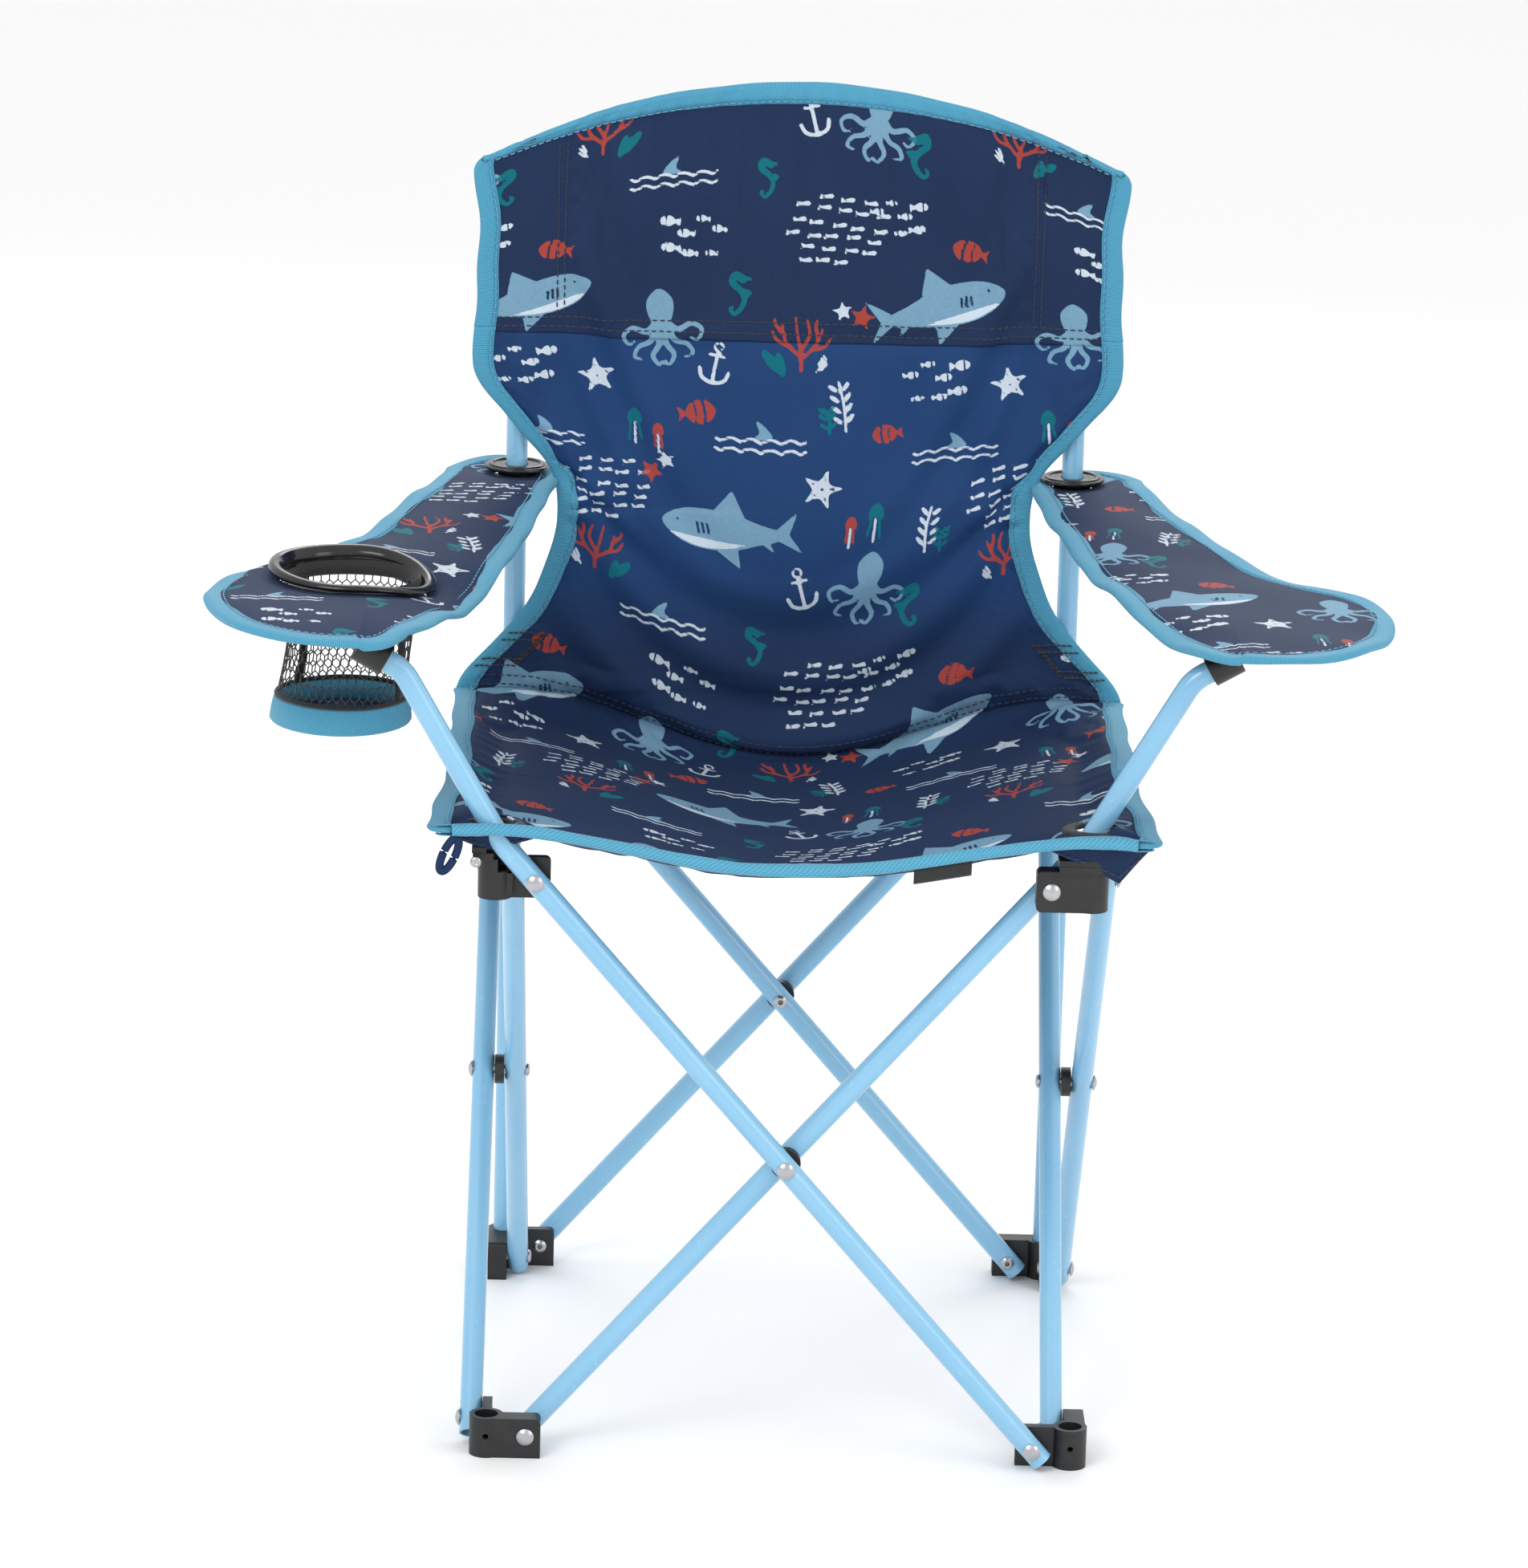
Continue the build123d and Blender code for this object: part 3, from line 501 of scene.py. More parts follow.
# ---- shared makers for cloth, tape and stitches
def makeMesh(name, points, faces, material, corners=None, layer=None, values=None):
    mesh = bpy.data.meshes.new(name)
    mesh.from_pydata(np.asarray(points, float).tolist(), [], [tuple(int(i) for i in f) for f in faces])
    if corners is not None:
        index = np.empty(len(mesh.loops), np.int32)
        mesh.loops.foreach_get("vertex_index", index)
        mesh.uv_layers.new(name=layer).data.foreach_set("uv", np.asarray(corners, float)[index].ravel())
    for key, value in (values or {}).items():
        mesh.attributes.new(key, "FLOAT", "POINT").data.foreach_set("value", np.asarray(value, float))
    mesh.polygons.foreach_set("use_smooth", np.ones(len(mesh.polygons), bool))
    mesh.materials.append(material)
    piece = bpy.data.objects.new(name, mesh)
    bpy.context.scene.collection.objects.link(piece)
    return piece


def applyAll(piece):
    bpy.ops.object.select_all(action="DESELECT")
    piece.select_set(True)
    bpy.context.view_layer.objects.active = piece
    for modifier in list(piece.modifiers):
        bpy.ops.object.modifier_apply(modifier=modifier.name)
    piece.select_set(False)
    return piece


def pointOutwards(piece):
    bm = bmesh.new()
    bm.from_mesh(piece.data)
    bmesh.ops.recalc_face_normals(bm, faces=bm.faces)
    bm.to_mesh(piece.data)
    bm.free()


def closeRing(faces, rows, columns):
    k, last = np.arange(columns), (rows - 1) * columns
    return np.vstack([faces, np.stack([last + k, last + (k + 1) % columns, (k + 1) % columns, k], 1)])


def spreadOver(first, second):
    return np.stack(np.broadcast_arrays(first, second), -1).reshape(-1, 2)


def thicken(piece, thickness, offset=0.0):
    wall = piece.modifiers.new("wall", "SOLIDIFY")
    wall.thickness = thickness
    wall.offset = offset
    wall.use_even_offset = False
    if len(piece.data.materials) > 1:
        wall.material_offset = 1
    return applyAll(piece)


def gridFaces(rows, columns, closed=False):
    across = columns if closed else columns - 1
    r, c = np.meshgrid(np.arange(rows - 1), np.arange(across), indexing="ij")
    r, c = r.ravel(), c.ravel()
    nextC = (c + 1) % columns
    return np.stack([r * columns + c, r * columns + nextC, (r + 1) * columns + nextC, (r + 1) * columns + c], 1)


def unit(vectors):
    return vectors / np.maximum(np.linalg.norm(vectors, axis=-1, keepdims=True), 1e-12)


def squareTo(edge, normal, inside):
    along = unit(np.gradient(edge, axis=0))
    inward = unit(np.cross(along, normal))
    return inward * np.where(((inside - edge) * inward).sum(1, keepdims=True) < 0, -1, 1)


def runLength(points):
    return np.concatenate([[0], np.cumsum(np.linalg.norm(np.diff(points, axis=0), axis=1))])


# a tape folded over an edge: edge points, inward direction and normal at each
def makeTapeOver(name, edge, inward, normal, tape, material, closed=False, surface=None):
    width, half, proud = tape["width"], tape["half"], tape["proud"]
    profile = [(width, half), (width * 0.55, half * 1.2), (0.0012, half * 1.35), (-proud * 0.7, half * 0.8),
        (-proud, 0),
               (-proud * 0.7, -half * 0.8), (0.0012, -half * 1.35), (width * 0.55, -half * 1.2), (width, -half)]
    count = len(edge)
    along = runLength(np.vstack([edge, edge[:1]]) if closed else edge)[:count]
    ripple = tape.get("ripple", 0.0) * (np.sin(along / 0.0171) + 0.6 * np.sin(along / 0.0067 + 1.0))
    points, corners = [], []
    for k, (a, b) in enumerate(profile):
        legRipple = ripple * (0.4 if a > 0.002 else 1.0)
        if surface is None or a < 0.002:
            points.append(edge + inward * (a + legRipple[:, None] * 0.6) + normal * (b + 0.4 * legRipple[:,
                None] * np.sign(b)))
        else:
            onCloth, outward = surface(a + legRipple * 0.6)
            points.append(onCloth + outward * b)
        corners.append(np.stack([along, np.full(count, (width + proud) * k / 4)], 1))
    points, corners = np.stack(points, 1).reshape(-1, 3), np.stack(corners, 1).reshape(-1, 2)
    faces = gridFaces(count, len(profile))
    if closed:
        k = np.arange(len(profile) - 1)
        last = (count - 1) * len(profile)
        faces = np.vstack([faces, np.stack([last + k, last + k + 1, k + 1, k], 1)])
    piece = makeMesh(name, points, faces, material, corners, "tapeRun")
    pointOutwards(piece)
    outward = 0.0
    for face in piece.data.polygons:
        k = face.vertices[0] // len(profile)
        outward += face.normal.dot(face.center - Vector(edge[k]) - Vector(inward[k]) * width * 0.5)
    if outward < 0:
        piece.data.flip_normals()
    return thicken(piece, tape.get("thick", 0.0005), -1.0)


# a row of stitches: short threads that dip into the cloth at their ends
def makeStitches(name, lines, material, length=0.0030, gap=0.0012, radius=0.00032):
    points, faces = [], []
    for path, normal in lines:
        along = runLength(path)
        for start in np.arange(gap, along[-1] - length, length + gap):
            at = start + length * np.array([0.0, 0.2, 0.5, 0.8, 1.0])
            middle = np.stack([np.interp(at, along, path[:, k]) for k in range(3)], 1)
            up = unit(np.stack([np.interp(at, along, normal[:, k]) for k in range(3)], 1))
            side = unit(np.cross(np.gradient(middle, axis=0), up))
            lift = radius * np.array([-0.6, 0.5, 0.9, 0.5, -0.6])
            size = radius * np.array([0.6, 1, 1.1, 1, 0.6])
            base = len(points)
            for k in range(5):
                for a in np.arange(5) * 2 * pi / 5:
                    points.append(middle[k] + up[k] * (lift[k] + size[k] * math.sin(a)) + side[k] * size[k] * 1.25 * math.cos(a))
            for k in range(4):
                for a in range(5):
                    faces.append((base + k * 5 + a, base + k * 5 + (a + 1) % 5, base + k * 5 + 5 + (a + 1) % 5,
                        base + k * 5 + 5 + a))
            faces.append(tuple(base + a for a in reversed(range(5))))
            faces.append(tuple(base + 20 + a for a in range(5)))
    return makeMesh(name, points, faces, material)


def tubeAlong(name, path, radius, material, sides=8, closed=False):
    path = np.asarray(path, float)
    count = len(path)
    ahead = unit(np.roll(path, -1, 0) - np.roll(path, 1, 0)) if closed else unit(np.gradient(path, axis=0))
    side = unit(np.cross(ahead, np.where(np.abs(ahead[:, 2:]) > 0.9, [[1.0, 0, 0]], [[0, 0, 1.0]])))
    up = np.cross(side, ahead)
    radius = np.broadcast_to(radius, (count,))
    a = np.arange(sides) * 2 * pi / sides
    ring = path[:, None] + radius[:, None,
        None] * (np.cos(a)[None, :, None] * side[:, None] + np.sin(a)[None, :, None] * up[:, None])
    faces = gridFaces(count, sides, True)
    if closed:
        faces = closeRing(faces, count, sides)
    faces = faces[:, ::-1].tolist()
    if not closed:
        faces += [list(range(sides)), list(range((count - 1) * sides, count * sides))[::-1]]
    piece = makeMesh(name, ring.reshape(-1, 3), faces, material)
    pointOutwards(piece)
    return piece


# ---- the sling: one run of cloth from the top of the back to the seat's front edge
sling = {
    "columns": 272, "upperRows": 88, "lowerRows": 152, "rearRows": 112, "frontRows": 112,
    "topHalf": 0.180, "topMiddle": 0.689, "topCorner": 0.646, "hem": 0.551, "hemHalf": 0.178,
    "backFace": 0.1531, "backBow": 0.009, "postX": 0.1555,
    "rearCorner": 0.3445, "frontCorner": 0.349, "rearSag": 0.034, "frontSag": 0.019, "middleSag": 0.007,
    "front": -0.1685, "seatBack": 0.152, "seatHalf": 0.190, "rearHalf": 0.188, "upperThick": 0.0015, "thick": 0.0009,
    "edgeTable": [(0.551, 0.178), (0.535, 0.1785), (0.520, 0.177), (0.505, 0.163), (0.490, 0.150), (0.476, 0.136),
    (0.462, 0.1315),
                  (0.435, 0.132), (0.415, 0.1365), (0.395, 0.145), (0.375, 0.160), (0.360, 0.176), (0.350, 0.185),
                  (0.3445, 0.188)],
}
regions = {  # body, where the cloth gathers to as the frame folds, and how much stays
    "upperBack": ("frame_rear_left", -0.1555, 0.277),
    "lowerBack": ("hub_rear_left", -0.1555, 0.277),
    "rearSeat": ("seat_rear", -0.1306, 0.135),
    "frontSeat": ("seat_front", -0.1306, 0.135),
}


def join(piece, region):
    body, anchor, keep = regions[region]
    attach(piece, body)
    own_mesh(piece)
    return piece


def seatHeight(x, y):
    back = sling["seatBack"]
    forward = np.clip((back - y) / (back - sling["front"]), 0, 1)
    corner = sling["rearCorner"] + (sling["frontCorner"] - sling["rearCorner"]) * forward
    sag = sling["rearSag"] * (1 - forward) ** 1.3 + sling["frontSag"] * forward + sling["middleSag"] * np.sin(pi * forward)
    bell = np.where(np.abs(x) < 0.152, 0.5 * (1 + np.cos(pi * x / 0.152)), 0)
    return corner - sag * bell**0.85 - 0.06 * np.maximum(np.abs(x) - 0.165, 0)


def cornerCut(radius, distance):
    away = max(radius - distance, 0.0)
    return radius - math.sqrt(radius**2 - away**2)


def slingGrid():
    u = np.linspace(-1, 1, sling["columns"] + 1)
    rise = sling["topMiddle"] - sling["topCorner"]
    bend = (sling["topHalf"] ** 2 + rise**2) / (2 * rise)
    rows = []
    for f in np.linspace(0, 1, sling["upperRows"] + 1):
        half = sling["topHalf"] + (sling["hemHalf"] - sling["topHalf"]) * f - 0.0016 * math.sin(pi * f)
        half -= cornerCut(0.009, f * (sling["topCorner"] - sling["hem"]))
        x = u * half
        top = sling["topMiddle"] - (bend - np.sqrt(bend**2 - (u * sling["topHalf"]) ** 2))
        rows.append(np.stack([x, np.zeros_like(x), sling["hem"] + (1 - f) * (top - sling["hem"])], 1))
    tableZ, tableW = (np.array(v)[::-1] for v in zip(*sling["edgeTable"]))
    spread = np.linspace(-0.009, 0.009, 9)
    for f in np.linspace(0, 1, sling["lowerRows"] + 1)[1:]:
        edgeZ = sling["hem"] + f * (sling["rearCorner"] - sling["hem"])
        half = np.mean(np.interp(edgeZ + spread, tableZ, tableW))
        x = u * half
        bottom = seatHeight(x * sling["seatHalf"] / sling["rearHalf"], sling["seatBack"])
        rows.append(np.stack([x, np.zeros_like(x), sling["hem"] + f * (bottom - sling["hem"])], 1))
    back = np.array(rows)
    height, x = back[..., 2], back[..., 0]
    bow = sling["backBow"] * np.clip((height - 0.31) / 0.05, 0.15, 1) * np.clip(1 - (x / 0.149) ** 2, 0, 1)
    back[..., 1] = sling["backFace"] + bow
    seat = []
    total = sling["rearRows"] + sling["frontRows"]
    for f in np.linspace(0, 1, total + 1)[1:]:
        half = sling["rearHalf"] + (sling["seatHalf"] - sling["rearHalf"]) * f - 0.005 * math.sin(pi * f)
        half -= cornerCut(0.013, (1 - f) * 0.32)
        x = u * half
        y = back[-1, :, 1] * (1 - f) + sling["front"] * f
        seat.append(np.stack([x, y, seatHeight(x, y)], 1))
    return np.concatenate([back, np.array(seat)])


def slingFolds(grid, flatX, flatL):
    rows, columns = grid.shape[:2]
    u = np.linspace(-1, 1, columns)[None]
    ahead = unit(np.gradient(grid, axis=0))
    across = unit(np.gradient(grid, axis=1))
    normal = unit(np.cross(ahead, across))
    x, y, z = grid[..., 0], grid[..., 1], grid[..., 2]
    hemRow, foldRow = sling["upperRows"], sling["upperRows"] + sling["lowerRows"]
    row = np.arange(rows)[:, None]
    onBack, onSeat = row <= foldRow, row > foldRow
    lower = np.clip((row - hemRow) / 22, 0, 1) * onBack
    folds = 0.0014 * np.sin(x / 0.021 + 2.2 * np.sin(z / 0.052) + 0.7) * lower * np.exp(-((z - 0.455) / 0.075) ** 2)
    for hand in (-1, 1):
        reach = np.hypot((x - hand * 0.132), (z - 0.448) * 0.8)
        turn = np.arctan2(z - 0.448, hand * 0.132 - x)
        folds += 0.0024 * np.exp(-reach / 0.042) * np.sin(5.5 * turn + hand * 0.9) * lower
        reach = np.hypot(x - hand * 0.188, z - 0.345)
        turn = np.arctan2(z - 0.345, hand * 0.188 - x)
        folds += 0.0028 * np.exp(-reach / 0.06) * np.sin(8.5 * turn + hand) * lower
        for cornerY, strength in ((sling["front"], 0.0023), (sling["seatBack"], 0.0018)):
            reach = np.hypot(x - hand * 0.178, y - cornerY)
            turn = np.arctan2(np.abs(y - cornerY), hand * 0.188 - x)
            folds += strength * np.exp(-reach / 0.055) * np.sin(9.0 * turn + hand * 1.7 + cornerY * 9) * onSeat
    folds += 0.0009 * np.sin(z / 0.017 + 1.6 * np.sin(x / 0.06)) * np.exp(-((z - 0.352) / 0.028) ** 2) * lower
    folds += 0.0007 * np.sin(x / 0.032 + 1.3 * np.sin(z / 0.041)) * np.clip(1 - row / hemRow, 0, 1) * (row < hemRow)
    folds += 0.0010 * (np.sin(flatX / 29 + 1.9 * np.sin(flatL / 37)) + 0.6 * np.sin(flatL / 23 + 2.4 * np.sin(flatX / 41 + 1)))
    folds += 0.0012 * np.sin(x / 0.0125 + 1.2) * np.exp(-(grid.shape[0] - 1 - row) / 16.0) * onSeat
    calm = np.clip((1 - np.abs(u)) / 0.07, 0, 1) * np.clip(row / 9, 0, 1) * np.clip((rows - 1 - row) / 7, 0, 1)
    calm = calm * (1 - 0.85 * np.exp(-((row - hemRow) / 4.0) ** 2)) * (1 - 0.9 * np.exp(-((row - foldRow) / 4.0) ** 2))
    nearPost = np.exp(-((np.abs(x) - sling["postX"]) / 0.012) ** 2) * onBack
    return grid + normal * (folds * calm * (1 - nearPost))[..., None]


def settleCloth(grid):
    step = 4
    coarse = grid[::step, ::step]
    rows, columns = coarse.shape[:2]
    piece = makeMesh("slingCloth", coarse.reshape(-1, 3), gridFaces(rows, columns), plainCloth)
    pins = piece.vertex_groups.new(name="pins")
    x, y, z = coarse[..., 0], coarse[..., 1], coarse[..., 2]
    r = np.arange(rows)[:, None] * step
    foldRow = sling["upperRows"] + sling["lowerRows"]
    held = (np.abs(x) > 0.128) & (r <= sling["upperRows"] + 2)
    held |= (np.arange(columns)[None] < 3) | (np.arange(columns)[None] > columns - 4)
    held |= (np.abs(r - foldRow) <= 2) | (r >= grid.shape[0] - 1 - step) | (r <= 3)
    held |= (r > foldRow) & (np.abs(x) > 0.150) & ((y < -0.12) | (y > 0.12))
    pins.add([int(i) for i in np.nonzero(held.ravel())[0]], 1.0, "REPLACE")
    sim = piece.modifiers.new("settle", "CLOTH")
    sim.settings.quality = 6
    sim.settings.mass = 0.25
    sim.settings.tension_stiffness = 30
    sim.settings.compression_stiffness = 12
    sim.settings.bending_stiffness = 1.2
    sim.settings.shrink_min = -0.022
    sim.settings.vertex_group_mass = "pins"
    sim.point_cache.frame_end = 22
    for frameNumber in range(1, 23):
        bpy.context.scene.frame_set(frameNumber)
    settled = piece.evaluated_get(bpy.context.evaluated_depsgraph_get())
    co = np.empty(len(settled.data.vertices) * 3)
    settled.data.vertices.foreach_get("co", co)
    moved = co.reshape(rows, columns, 3) - coarse
    bpy.data.objects.remove(piece)
    bpy.context.scene.frame_set(1)
    size = np.linalg.norm(moved, axis=2, keepdims=True)
    moved = moved * np.minimum(1, 0.010 / np.maximum(size, 1e-9))
    rAt, cAt = np.arange(grid.shape[0]) / step, np.arange(grid.shape[1]) / step
    rAt, cAt = np.clip(rAt, 0, rows - 1.0001), np.clip(cAt, 0, columns - 1.0001)
    r0, c0 = rAt.astype(int), cAt.astype(int)
    fr, fc = rAt - r0, cAt - c0
    fr, fc = (fr * fr * (3 - 2 * fr))[:, None, None], (fc * fc * (3 - 2 * fc))[None, :, None]
    fine = (moved[r0][:, c0] * (1 - fr) * (1 - fc) + moved[r0 + 1][:, c0] * fr * (1 - fc)
            + moved[r0][:, c0 + 1] * (1 - fr) * fc + moved[r0 + 1][:, c0 + 1] * fr * fc)
    for axis in (0, 1):
        for turn in range(3):
            inner = (np.roll(fine, 1, axis) + np.roll(fine, -1, axis)) / 4 + fine / 2
            slices = (slice(1, -1), slice(None)) if axis == 0 else (slice(None), slice(1, -1))
            fine[slices] = inner[slices]
    print("cloth settled, most", round(float(size.max()) * 1000, 1), "mm")
    return grid + fine


grid = slingGrid()
middle = grid.shape[1] // 2
flatL = runLength(grid[:, middle]) * 1000
flatL = (flatL - flatL[sling["upperRows"]])[:, None] + 0 * grid[..., 0]
edgeWave = np.sin(flatL / 11.0) * 0.0007 + np.sin(flatL / 27.0 + 1) * 0.0009
grid[..., 0] *= 1 + edgeWave / 0.18 * np.clip(np.abs(np.linspace(-1, 1, grid.shape[1]))[None] - 0.7, 0, 1) * 3
flatX = grid[..., 0] * 1000
grid = settleCloth(grid)
grid = slingFolds(grid, flatX, flatL)
rowTotal, columnTotal = grid.shape[:2]
gridAhead = unit(np.gradient(grid, axis=0))
foldRow = sling["upperRows"] + sling["lowerRows"]
gridAhead[foldRow] = gridAhead[foldRow - 1]
gridAcross = unit(np.gradient(grid, axis=1))
gridNormal = unit(np.cross(gridAhead, gridAcross))
inks = {ink: depth.reshape(grid.shape[:2]) for ink,
    depth in drawInks(flatX.ravel() + 400, flatL.ravel() + 300).items()}
# painted backlight: lighter high on the lower back where light would shine through the single layer, darker towards
# the seat crease, on the seat, on the double-layer upper back and towards the side edges
glowRow = np.arange(rowTotal)[:, None] + 0 * flatX
glow = np.where((glowRow > sling["upperRows"]) & (glowRow <= foldRow),
    np.clip((grid[..., 2] - 0.352) / 0.06, 0.25, 1), 0.22)
glow = np.where(glowRow <= sling["upperRows"] + 1, 0.12, glow) * np.clip(1.15 - 0.35 * (np.abs(flatX) / 150) ** 3, 0,
    1)
print("sling grid", rowTotal, "by", columnTotal)

armHoles = {"radius": 0.0115, "x": 0.1562, "leftY": -0.1573, "rightY": -0.1397}


def slingPanel(name, first, last, region, thick, node):
    part = slice(first, last + 1)
    points = grid[part].reshape(-1, 3)
    faces = gridFaces(last + 1 - first, columnTotal)
    if region == "frontSeat":
        centers = points[faces].mean(1)
        keepFace = np.ones(len(faces), bool)
        for hand, y in ((-1, armHoles["leftY"]), (1, armHoles["rightY"])):
            keepFace &= np.hypot(centers[:, 0] - hand * armHoles["x"], centers[:, 1] - y) > armHoles["radius"]
        faces = faces[keepFace]
    values = {ink: depth[part].ravel() for ink, depth in inks.items()}
    # the painted backlight is held low on the double-layer upper back
    values["glow"] = glow[part].ravel() if region != "upperBack" else np.minimum(glow[part], 0.12).ravel()
    corners = np.stack([flatX[part].ravel(), flatL[part].ravel()], 1) / 1000
    piece = makeMesh(name, points, faces, printedCloth, corners, "flatCut", values)
    piece.data.materials.append(plainCloth)
    lead = piece.data.polygons[len(piece.data.polygons) // 2]
    if lead.normal.dot(Vector((0, -1, 0) if "Back" in region else (0, 0, 1))) < 0:
        piece.data.flip_normals()
    thicken(piece, thick)
    join(piece, region)
    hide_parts(node)
    return piece


hemRow, seatRow = sling["upperRows"], foldRow + sling["rearRows"]
facing = 1.0 if gridNormal[20, middle].dot([0, -1, 0]) > 0 else -1.0
panels = {
    "upperBack": slingPanel("backUpperCloth", 0, hemRow + 2, "upperBack", sling["upperThick"], "back_upper"),
    "lowerBack": slingPanel("backLowerCloth", hemRow, foldRow, "lowerBack", sling["thick"], "back_lower"),
    "rearSeat": slingPanel("seatRearCloth", foldRow, seatRow, "rearSeat", sling["thick"], "seat_rear"),
    "frontSeat": slingPanel("seatFrontCloth", seatRow, rowTotal - 1, "frontSeat", sling["thick"], "seat_front"),
}
rowsOf = {"upperBack": (0, hemRow), "lowerBack": (hemRow, foldRow), "rearSeat": (foldRow, seatRow),
    "frontSeat": (seatRow, rowTotal - 1)}
print("sling panels made")

def clothLine(rows, columns, lift):
    rows, columns = np.broadcast_arrays(np.asarray(rows, float), np.asarray(columns, float))
    r0, c0 = np.clip(rows.astype(int), 0, rowTotal - 2), np.clip(columns.astype(int), 0, columnTotal - 2)
    fr, fc = (rows - r0)[:, None], (columns - c0)[:, None]
    def read(field):
        return (field[r0, c0] * (1 - fr) * (1 - fc) + field[r0 + 1, c0] * fr * (1 - fc)
                + field[r0, c0 + 1] * (1 - fr) * fc + field[r0 + 1, c0 + 1] * fr * fc)
    normal = unit(read(gridNormal)) * facing
    return read(grid) + normal * lift, normal


# ---- tape round the sling
slingTape = {"width": 0.0105, "half": 0.0011, "proud": 0.0016, "ripple": 0.0004, "thick": 0.0005}
rollTape = {"width": 0.0085, "half": 0.0024, "proud": 0.0032, "ripple": 0.0005, "thick": 0.0006}
tapes = {region: [] for region in regions}
for region, (first, last) in rowsOf.items():
    for hand, column in (("Left", 0), ("Right", columnTotal - 1)):
        edge = grid[first : last + 1, column]
        inward = squareTo(edge, gridNormal[first : last + 1, column], grid[first : last + 1, middle])
        rows = np.arange(first, last + 1)
        beside = 1 if column == 0 else columnTotal - 2
        width = np.maximum(np.linalg.norm(grid[rows, beside] - grid[rows, column], axis=1), 1e-5)
        def sideCloth(a, rows=rows, column=column, width=width):
            return clothLine(rows, column + (a / width if column == 0 else -a / width), 0)
        piece = makeTapeOver(f"{region}Tape{hand}", edge, inward, gridNormal[first : last + 1, column] * facing,
            slingTape, blueTape, surface=sideCloth)
        tapes[region].append(join(piece, region))
everyColumn = np.arange(columnTotal)
topStep = np.maximum(np.linalg.norm(grid[4] - grid[0], axis=1) / 4, 1e-5)
topEdge = makeTapeOver("upperBackTapeTop", grid[0], squareTo(grid[0], gridNormal[1], grid[hemRow]),
    gridNormal[1] * facing, slingTape, blueTape,
                       surface=lambda a: clothLine(a / topStep, everyColumn, 0))
tapes["upperBack"].append(join(topEdge, "upperBack"))
frontStep = np.maximum(np.linalg.norm(grid[-5] - grid[-1], axis=1) / 4, 1e-5)
frontEdge = makeTapeOver("frontSeatTapeRolled", grid[-1], squareTo(grid[-1], gridNormal[-1], grid[seatRow]),
    gridNormal[-1] * facing, rollTape, rolledTape,
                         surface=lambda a: clothLine(rowTotal - 1 - a / frontStep, everyColumn, 0))
tapes["frontSeat"].append(join(frontEdge, "frontSeat"))
print("sling tape sewn on")


def columnAt(row, x):
    return np.interp(x, grid[row, :, 0], np.arange(columnTotal))


def seamLine(rows, x, lift):
    rows = np.asarray(rows)
    return clothLine(rows, [columnAt(int(r), x) for r in rows], lift)


inset = 7
wide = np.arange(inset, columnTotal - inset)
face = sling["upperThick"] / 2 + 0.0001
upperSeams = [clothLine(hemRow - 1 + 0 * wide, wide, face), clothLine(hemRow - 5 + 0 * wide, wide, face)]
for hand in (-1, 1):
    upperSeams += [seamLine(np.arange(8, hemRow - 4), hand * x, face) for x in (0.1305, 0.1345)]
join(makeStitches("upperBackStitches", upperSeams, navyThread), "upperBack")
face = sling["thick"] / 2 + 0.0001
lowerSeams = [clothLine(foldRow - row + 0 * wide, wide, face) for row in (2, 6)]
join(makeStitches("lowerBackStitches", lowerSeams, navyThread), "lowerBack")
for region, (first, last) in rowsOf.items():
    lines = []
    for side in (1, -1):
        rows = np.arange(first + 1, last)
        reach = np.array([0.0088 / max(np.linalg.norm(grid[r, 1] - grid[r, 0]), 1e-5) for r in rows])
        columns = reach if side == 1 else columnTotal - 1 - reach
        lines.append(clothLine(rows, columns, slingTape["half"] * 1.25 + 0.0005))
    if region == "upperBack":
        lines.append(clothLine(5.6 + 0 * wide, wide, slingTape["half"] * 1.25 + 0.0005))
    join(makeStitches(f"{region}TapeStitches", lines, blueThread, radius=0.00026), region)
print("seams stitched")

# ---- armrests: padded cloth with a taped edge, laid over the grommet and the plate
armrest = {
    "rear": (0.1625, 0.466), "slope": math.atan(13.0 / 357.0), "postX": 0.1555, "cell": 0.0016,
    "thick": 0.0018, "crown": 0.0019, "crownReach": 0.014, "postHole": 0.0125, "cupHole": 0.0405,
    "cupOut": 0.080, "cupFront": 0.226, "sag": 0.0035,
    "outline": [(40, -6), (50, -40), (80, -133), (112, -190), (143, -228), (153, -262), (150, -298), (134, -330),
    (108, -350), (82, -356),
                (60, -350), (45, -325), (23, -265), (2, -175), (-9, -110), (-21, -20), (-20, 8), (-8, 24), (10, 31),
                (27, 24), (38, 10)],
}
armTape = {"width": 0.0105, "half": 0.0017, "proud": 0.0018, "ripple": 0.0006, "thick": 0.0005}
armSwings = {
    "left": ("armrest_left", (-0.0699, -0.3198, -0.0116), 0.317),
    "right": ("armrest_right", (0.0699, -0.3022, -0.0110), 0.285),
}
slopeC, slopeS = math.cos(armrest["slope"]), math.sin(armrest["slope"])
armUp = np.array([0, -slopeS, slopeC])


def armPlace(x, along, lift):
    return np.stack([x, armrest["rear"][0] + along * slopeC - lift * slopeS,
        armrest["rear"][1] + along * slopeS + lift * slopeC], -1)


def outlineGap(points, outline):
    starts, way = outline, np.roll(outline, -1, 0) - outline
    out = np.empty(len(points))
    for k in range(0, len(points), 4000):
        off = points[k : k + 4000, None] - starts[None]
        t = np.clip((off * way).sum(2) / np.maximum((way**2).sum(1), 1e-12), 0, 1)
        out[k : k + 4000] = np.linalg.norm(off - t[..., None] * way, axis=2).min(1)
    return out


def cupDip(x, along):
    t = np.clip(((x + armrest["postX"] + armrest["cupOut"]) / 0.044 - 0.05) / 1.1, 0, 1)
    return -0.0085 * t * t * (3 - 2 * t) * np.exp(-(((along + armrest["cupFront"] + 0.006) / 0.052) ** 2))


